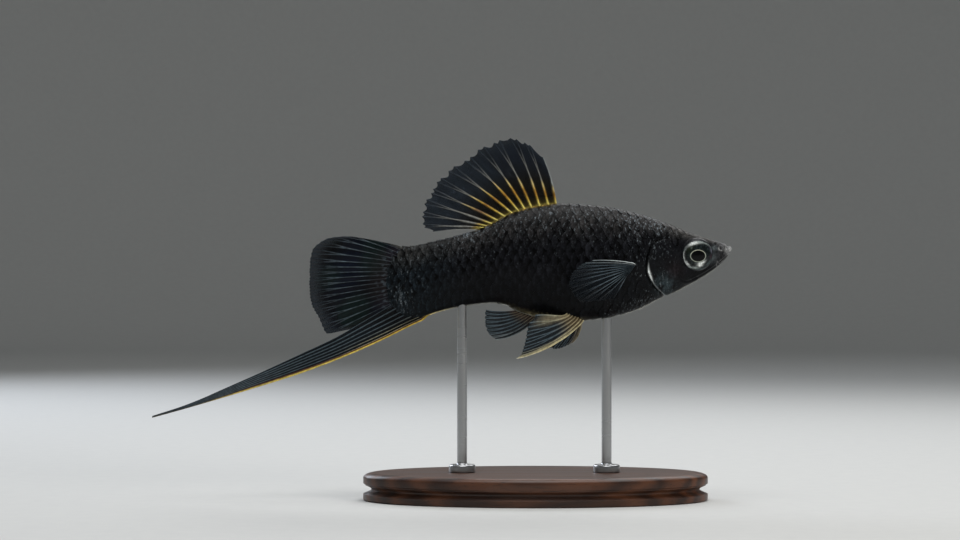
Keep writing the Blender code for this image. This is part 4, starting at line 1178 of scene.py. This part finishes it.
def make_eyes(finish):
    """Each eye is turned about its own axis: a flattened ball whose front has a dark iris with
    gleaming patches, a thin bright ring and a black pupil. The ring and the pupil are ovals, a
    little wider than tall. The back has a sixth as many rings as the front."""
    radius = np.linspace(0.0, 1, EYE_RINGS)[1:] * EYE_EDGE
    turn = np.arange(EYE_STEPS) * 2 * math.pi / EYE_STEPS
    coarse = np.linspace(len(radius) - 2, 4, len(radius) // 6).astype(int)
    colour, front = eye_front(*np.meshgrid(radius, turn, indexing="ij"))
    back = -HEEL * EYE_HALF_DEPTH * np.sqrt(1 - (radius[coarse] / EYE_RADIUS) ** 2)
    level = np.concatenate([front, np.repeat(back[:, None], EYE_STEPS, axis=1)])
    rings = np.concatenate([radius, radius[coarse]])[:, None, None]

    index = 1 + np.arange(level.size).reshape(level.shape)
    around = np.roll(index, -1, axis=1)
    quads = np.stack([index[:-1], index[1:], around[1:], around[:-1]], axis=-1).reshape(-1, 4)
    cap = np.stack([0 * index[0], index[0], around[0]], axis=1)
    end = np.stack([0 * index[-1] + level.size + 1, around[-1], index[-1]], axis=1)
    rest = np.broadcast_to(EYE_TONES["dark"], (len(coarse) * EYE_STEPS + 1, 3))
    tint = np.concatenate([[EYE_TONES["pupil"]], colour.reshape(-1, 3), rest])
    for name, side in (("right", -1), ("left", 1)):
        place, out = flank(*EYE, side)
        up = unit(np.array([0.0, 0.0, 1.0]) - out * out[2])
        ahead = np.cross(up, out) * side
        middle = place - out * EYE_SINK
        way = np.cos(turn)[:, None] * ahead + np.sin(turn)[:, None] * up
        spots = middle + rings * way + level[..., None] * out
        pole, heel = middle + (front[0, 0] + 0.002) * out, middle - HEEL * EYE_HALF_DEPTH * out
        kinds = [kind[:, ::-side] for kind in (quads, cap, end)]
        mesh_of(f"eyeball_{name}", placed(np.concatenate([[pole], spots.reshape(-1, 3), [heel]])), kinds,
                finish, (f"eye_{name}",), {"tint": tint})


# The stand

def turned(profile, steps, stretch=(1.0, 1.0), centre=(0.0, 0.0)):
    """A profile of (radius, height) points from the middle of the top round to the middle of
    the bottom, turned about the upright axis: x = radius cos t, y = radius sin t, stretched."""
    profile = np.array(profile, float)
    turn = np.arange(steps) * 2 * math.pi / steps
    ring = np.stack([np.cos(turn) * stretch[0], np.sin(turn) * stretch[1]], axis=-1)
    inner = profile[1:-1]
    rim = inner[:, None, :1] * ring[None] + np.array(centre)
    level = np.broadcast_to(inner[:, None, 1:], (len(inner), steps, 1))
    body = np.concatenate([rim, level], axis=-1).reshape(-1, 3)
    poles = np.array([(*centre, profile[0, 1]), (*centre, profile[-1, 1])])
    near = np.arange(steps)
    far = (near + 1) % steps
    total, last = len(body), len(body) - steps
    lids = np.concatenate([np.stack([0 * near + total, near, far], axis=1),
                           np.stack([0 * near + total + 1, last + far, last + near], axis=1)])
    return np.concatenate([body, poles]), [net(len(inner), steps, True)[0][:, ::-1], lids]


def arc(centre, reach, start, end, steps):
    """Points of an oval arc from one angle to the other, in degrees. reach is half its size."""
    angle = np.radians(np.linspace(start, end, steps))
    return [(centre[0] + reach[0] * math.cos(a), centre[1] + reach[1] * math.sin(a)) for a in angle]


def make_base(finish):
    """The base: an oval board with a soft upper edge, a shallow cove under it and a foot."""
    step = 0.5 - BOARD_STEP
    cove = [(step - COVE_DEPTH * math.sin(math.pi * k / 8), COVE_TOP - COVE_DROP * k / 8) for k in range(9)]
    profile = [
        (0.0, 1.0), (0.12, 1.0), (0.3, 1.0), (0.44, 1.0),
        *arc((0.5 - BOARD_EDGE, SHOULDER_LEVEL), (BOARD_EDGE, 1 - SHOULDER_LEVEL), 90, 0, 9),
        (0.5, 0.62), (step, 0.57), *cove, (0.5, 0.24), (0.5, 0.04), (step, 0.0), (0.25, 0.0), (0.0, 0.0),
    ]
    points, faces = turned(profile, 160, (BASE_LENGTH, BASE_WIDTH), (BASE_CENTRE_X, 0.0))
    points[:, 2] *= BASE_HEIGHT
    mesh_of("walnut_board", points * MM, faces, finish, ("stand_base",), sharp=40)


def make_rods(finish):
    """Two rods with turned collars. Each rod's top is cut to the belly that it carries: its
    upper rings follow the height of the body's underside over them."""
    foot = BASE_HEIGHT + ROD_BED
    collar = foot + COLLAR_HEIGHT
    hollow = ROD_RADIUS + COLLAR_HOLLOW, collar + COLLAR_HOLLOW
    shoulder = COLLAR_RADIUS - COLLAR_ROUND, collar - COLLAR_ROUND
    for name, station in ROD_STATIONS.items():
        x, y, _ = placed((station, 0.0, 0.0)) / MM
        top = SNOUT_HEIGHT + float(smooth(BELLY_LINE, station)) - 0.5
        profile = [
            (0.0, top), (ROD_RADIUS * 0.5, top), (ROD_RADIUS, top), (ROD_RADIUS, top - 1.0),
            (ROD_RADIUS, collar + 0.5), *arc(hollow, (COLLAR_HOLLOW, COLLAR_HOLLOW), 180, 270, 5),
            (COLLAR_RADIUS - 0.5, collar), *arc(shoulder, (COLLAR_ROUND, COLLAR_ROUND), 90, 0, 6),
            (COLLAR_RADIUS, foot + 0.12), (COLLAR_RADIUS - 0.1, foot), (1.0, foot), (0.0, foot),
        ]
        points, faces = turned(profile, 56, centre=(x, y))
        at = OVERALL_LENGTH / 2 - points[:, 0]
        belly = smooth(BELLY_LINE, at)
        across = np.clip((points[:, 1] - y) / smooth(HALF_WIDTH, at), -1, 1)
        drop = (belly - smooth(BACK_LINE, at)) / 2
        under = SNOUT_HEIGHT + belly - drop * (1 - np.sqrt(1 - across ** 2))
        points[:, 2] += rise(points[:, 2], top - 0.6, top) * (under - 0.02 - top)
        mesh_of(f"steel_{name[6:]}", points * MM, faces, finish, (name,), sharp=35)


# Materials

def join(tree, node, sockets):
    """Gives a node's inputs their values, or links them to another node's output. The inputs
    are named, or the values come in the inputs' order."""
    named = sockets if isinstance(sockets, dict) else dict(enumerate(sockets))
    for name, value in named.items():
        if isinstance(value, bpy.types.NodeSocket):
            tree.links.new(value, node.inputs[name])
        else:
            node.inputs[name].default_value = value


def add(tree, kind, sockets=(), out=0, **settings):
    """Adds a shader node with its settings and inputs, and gives one of its outputs."""
    made = tree.nodes.new("ShaderNode" + kind)
    for name, value in settings.items():
        setattr(made, name, value)
    join(tree, made, sockets)
    return made.outputs[out]


def fresh(name, sockets):
    """A new material of one Principled shader with its plain values set, its tree, its shader
    and the place on the object."""
    made = bpy.data.materials.new(name)
    made.use_nodes = True
    tree = made.node_tree
    shader = tree.nodes["Principled BSDF"]
    join(tree, shader, sockets)
    return made, tree, shader, add(tree, "TexCoord", out="Object")


def wet_scaled_skin():
    """Fish skin with scales under a film of slime, as a varnished cast shows it: near-black
    pigment cells in clouds, silvery flecks, and a soft wet gloss that breaks on every scale."""
    made, tree, shader, where = fresh("wet_scaled_skin", {
        "Specular IOR Level": 0.12, "IOR": 1.4, "Coat Weight": 0.04, "Coat Roughness": 0.2})
    pigments = add(tree, "Attribute", out="Color", attribute_name="pigment")
    flecks = add(tree, "Attribute", out="Fac", attribute_name="sparkle")
    dash = add(tree, "Attribute", out="Fac", attribute_name="dash")
    behind = add(tree, "SeparateXYZ", [add(tree, "UVMap", uv_map="lie")])
    # Pigment clouds about 1.1 mm across, and a finer mottle of 0.35 mm
    clouds = add(tree, "TexNoise", {"Vector": where, "Scale": 900.0, "Detail": 3.0, "Roughness": 0.6})
    mottle = add(tree, "TexNoise", {"Vector": where, "Scale": 2900.0, "Detail": 2.0})
    deep = add(tree, "MapRange", (clouds, 0.3, 0.7, 0.5, 1.5))
    light = add(tree, "MapRange", (mottle, 0.3, 0.7, 0.5, 1.5))
    both = add(tree, "Math", (deep, light), operation="MULTIPLY")
    # The dark stroke at the front of the part of each scale that shows. The bare skin has none
    ragged = add(tree, "Math", (clouds, 0.5, behind), operation="MULTIPLY_ADD")
    far = add(tree, "Math", [add(tree, "Math", (ragged, 0.12), operation="SUBTRACT")], operation="ABSOLUTE")
    stroke = add(tree, "MapRange", (far, 0.12, 0.3, 1.0, 0.0))
    darker = add(tree, "Math", (stroke, dash), operation="MULTIPLY")
    kept = add(tree, "MapRange", (darker, 0.0, 1.0, 1.2, 0.06))
    # The paler rear edge of each scale, a painted highlight where the lifted edge catches the light, broken
    # by the clouds
    near = add(tree, "Math", [add(tree, "Math", (ragged, 0.78), operation="SUBTRACT")], operation="ABSOLUTE")
    pale = add(tree, "MapRange", (near, 0.06, 0.2, 1.8, 1.0))
    edged = add(tree, "Math", (kept, pale), operation="MULTIPLY")
    marked = add(tree, "Math", (both, edged), operation="MULTIPLY")
    body = add(tree, "VectorMath", {0: pigments, "Scale": marked}, operation="SCALE")
    # Ragged silvery flecks 0.3 to 0.5 mm across, taller than long, between the dark strokes
    tall = add(tree, "Mapping", {"Vector": where, "Scale": (1.6, 1.0, 0.75)})
    specks = add(tree, "TexNoise", {"Vector": tall, "Scale": 1900.0, "Detail": 3.0, "Roughness": 0.7})
    crowd = add(tree, "Math", (flecks, 0.24, specks), operation="MULTIPLY_ADD")
    fleck = add(tree, "MapRange", (crowd, 0.67, 0.82, 0.0, 0.9))
    bright = add(tree, "MapRange", (mottle, 0.35, 0.65, 0.2, 1.0))
    soft = add(tree, "Math", (fleck, bright), operation="MULTIPLY")
    shown = add(tree, "Math", (soft, kept), operation="MULTIPLY")
    foil = add(tree, "Mix", {"Factor": flecks, "A": (*paint("#4a4f51"), 1.0), "B": (*paint("#8e9aa2"), 1.0)},
               "Result", data_type="RGBA")
    join(tree, shader, {
        "Base Color": add(tree, "Mix", {"Factor": shown, "A": body, "B": foil}, "Result", data_type="RGBA"),
        "Roughness": add(tree, "MapRange", (mottle, 0.3, 0.7, 0.38, 0.6)),
        "Normal": add(tree, "Bump", {"Height": mottle, "Strength": 0.5, "Distance": 0.00008})})
    return made


def fin_membrane():
    """Fin skin stretched over bony rays: smoky and half clear, with a fine relief of the rays'
    joints across them, and the same wet gloss as the body."""
    made, tree, shader, where = fresh("fin_membrane", {
        "Specular IOR Level": 0.2, "IOR": 1.4, "Coat Weight": 0.06, "Coat Roughness": 0.25})
    tint = add(tree, "Attribute", out="Color", attribute_name="tint")
    cover, on_ray, run = (
        add(tree, "Attribute", out="Fac", attribute_name=name) for name in ("cover", "on_ray", "run"))
    # Mottle of 0.6 mm
    mottle = add(tree, "TexNoise", {"Vector": where, "Scale": 1600.0, "Detail": 3.0, "Roughness": 0.6})
    shade = add(tree, "MapRange", (mottle, 0.3, 0.7, 0.65, 1.3))
    # Joints of the rays every 0.45 mm
    beat = add(tree, "Math", (run, 2 * math.pi / 0.45), operation="MULTIPLY")
    step = add(tree, "MapRange", (add(tree, "Math", [beat], operation="SINE"), -1.0, -0.6, 0.75, 1.0))
    height = add(tree, "Math", (step, on_ray), operation="MULTIPLY")
    join(tree, shader, {
        "Base Color": add(tree, "VectorMath", {0: tint, "Scale": shade}, operation="SCALE"),
        "Alpha": cover,
        "Roughness": add(tree, "MapRange", (mottle, 0.3, 0.7, 0.36, 0.55)),
        "Normal": add(tree, "Bump", {"Height": height, "Strength": 0.12, "Distance": 0.00008})})
    return made


def glassy_eye():
    """A fish's eye under its cornea: silvery foil-like rings with dark patches, beneath one
    clear, very smooth coat that gives the wet highlight."""
    made, tree, shader, where = fresh("glassy_eye", {
        "Roughness": 0.35, "Specular IOR Level": 0.12, "Coat Weight": 0.1, "Coat Roughness": 0.05})
    tint = add(tree, "Attribute", out="Color", attribute_name="tint")
    # Foil grain of 0.2 mm
    grain = add(tree, "TexNoise", {"Vector": where, "Scale": 5000.0, "Detail": 2.0})
    shade = add(tree, "MapRange", (grain, 0.3, 0.7, 0.8, 1.15))
    join(tree, shader, {"Base Color": add(tree, "VectorMath", {0: tint, "Scale": shade}, operation="SCALE")})
    return made


def oiled_walnut():
    """Walnut board, routed, sanded and oiled: brown with darker growth lines 1.5 mm apart that
    run along it, fine open pores and a low satin sheen."""
    made, tree, shader, where = fresh("oiled_walnut", {
        "IOR": 1.45, "Coat Weight": 0.2, "Coat Roughness": 0.3})
    turn = add(tree, "Mapping", {"Vector": where, "Scale": (0.16, 1.0, 1.0), "Rotation": (0.35, 0.0, 0.06)})
    sway = add(tree, "TexNoise", {"Vector": turn, "Scale": 140.0, "Detail": 3.0})
    lines = add(tree, "TexWave", {
        "Vector": turn, "Scale": 105.0, "Distortion": 5.0, "Detail": 3.0, "Detail Scale": 2.0},
        bands_direction="Y")
    thin = add(tree, "Mapping", {"Vector": where, "Scale": (0.08, 1.0, 1.0)})
    pores = add(tree, "TexNoise", {"Vector": thin, "Scale": 4200.0, "Detail": 2.0})
    dark = add(tree, "MapRange", (pores, 0.3, 0.42, 0.45, 1.0))
    warm = add(tree, "Mix", {"Factor": lines, "A": (*paint("#2e1a10"), 1.0), "B": (*paint("#573420"), 1.0)},
               "Result", data_type="RGBA")
    patch = add(tree, "MapRange", (sway, 0.3, 0.7, 0.75, 1.2))
    both = add(tree, "Math", (dark, patch), operation="MULTIPLY")
    join(tree, shader, {
        "Base Color": add(tree, "VectorMath", {0: warm, "Scale": both}, operation="SCALE"),
        "Roughness": add(tree, "MapRange", (lines, 0.0, 1.0, 0.4, 0.5)),
        "Normal": add(tree, "Bump", {"Height": dark, "Strength": 0.25, "Distance": 0.00005})})
    return made


def brushed_steel():
    """Stainless steel rod, turned and brushed round: bright, its gloss broken by fine rings."""
    made, tree, shader, where = fresh("brushed_steel", {
        "Metallic": 1.0, "Base Color": (*paint("#b9babb"), 1.0)})
    # Rings 0.4 mm apart, as fine as shows
    flat = add(tree, "Mapping", {"Vector": where, "Scale": (0.02, 0.02, 1.0)})
    marks = add(tree, "TexNoise", {"Vector": flat, "Scale": 2500.0, "Detail": 2.0})
    join(tree, shader, {"Roughness": add(tree, "MapRange", (marks, 0.3, 0.7, 0.27, 0.33))})
    return made


def matt_paper():
    """Photographer's paper, pale and matt. Its tooth of about 3 mm gives it a trace of grain."""
    made, tree, shader, where = fresh("matt_paper", {"Roughness": 0.9, "Specular IOR Level": 0.2})
    tooth = add(tree, "TexNoise", {"Vector": where, "Scale": 300.0, "Detail": 2.0})
    join(tree, shader, {"Base Color": add(
        tree, "Mix", {"Factor": tooth, "A": (*paint("#c9cac9"), 1.0), "B": (*paint("#cfd0ce"), 1.0)},
        "Result", data_type="RGBA")})
    return made


# Studio

def make_sweep(finish):
    """The pale floor, which curves up all round into a wall."""
    profile = np.array([
        (0.0, 0.0), (200.0, 0.0), (500.0, 0.0),
        *arc((SWEEP_FLAT, SWEEP_BEND), (SWEEP_BEND, SWEEP_BEND), -90, 0, 16),
        (SWEEP_FLAT + SWEEP_BEND, SWEEP_TOP),
    ])
    turn = np.arange(SWEEP_STEPS) * 2 * math.pi / SWEEP_STEPS
    radius, level = profile[:, :1], np.repeat(profile[:, 1:], SWEEP_STEPS, axis=1)
    points = np.stack([radius * np.cos(turn), radius * np.sin(turn), level], axis=-1)
    faces, _, _ = net(len(profile), SWEEP_STEPS, True)
    put_in("paper_sweep", points * MM, [faces], finish)


def make_lights():
    """Soft lights that the camera doesn't see, in a room of even pale light. The one at the head
    isn't mirrored in the wet skin."""
    for name, (place, aim, size, power, tone) in LIGHTS.items():
        data = bpy.data.lights.new(name, "AREA")
        data.shape = "RECTANGLE"
        data.size, data.size_y = size[0] * MM, size[1] * MM
        data.energy = power
        data.color = paint(tone)
        lamp = bpy.data.objects.new(name, data)
        lamp.location = np.array(place) * MM
        x, y, z = np.array(aim, float) - np.array(place)
        lamp.rotation_euler = (math.atan2(math.hypot(x, y), -z), 0.0, math.atan2(y, x) - math.pi / 2)
        lamp.visible_camera = False
        lamp.visible_glossy = name != "head_light"
        bpy.context.scene.collection.objects.link(lamp)
    world = bpy.data.worlds.new("soft_room")
    world.use_nodes = True
    join(world.node_tree, world.node_tree.nodes["Background"], {
        "Color": (*paint(ROOM_COLOUR), 1.0), "Strength": ROOM_LIGHT})
    bpy.context.scene.world = world


def make_camera():
    """The photo's view: level, square to the fish's right side."""
    lens = bpy.data.cameras.new("camera")
    lens.lens, lens.sensor_width = CAMERA_LENS, SENSOR_WIDTH
    lens.clip_start, lens.clip_end = 0.01, 10.0
    camera = bpy.data.objects.new("camera", lens)
    camera.location = np.array(CAMERA_PLACE) * MM
    camera.rotation_euler = (math.pi / 2, 0.0, 0.0)
    bpy.context.scene.collection.objects.link(camera)
    bpy.context.scene.camera = camera
    bpy.context.scene.view_settings.view_transform = "Standard"


make_sweep(matt_paper())
make_lights()
make_camera()
body_finish = wet_scaled_skin()
make_skin(body_finish)
make_scales(body_finish)
make_fins(fin_membrane())
make_eyes(glassy_eye())
make_base(oiled_walnut())
make_rods(brushed_steel())
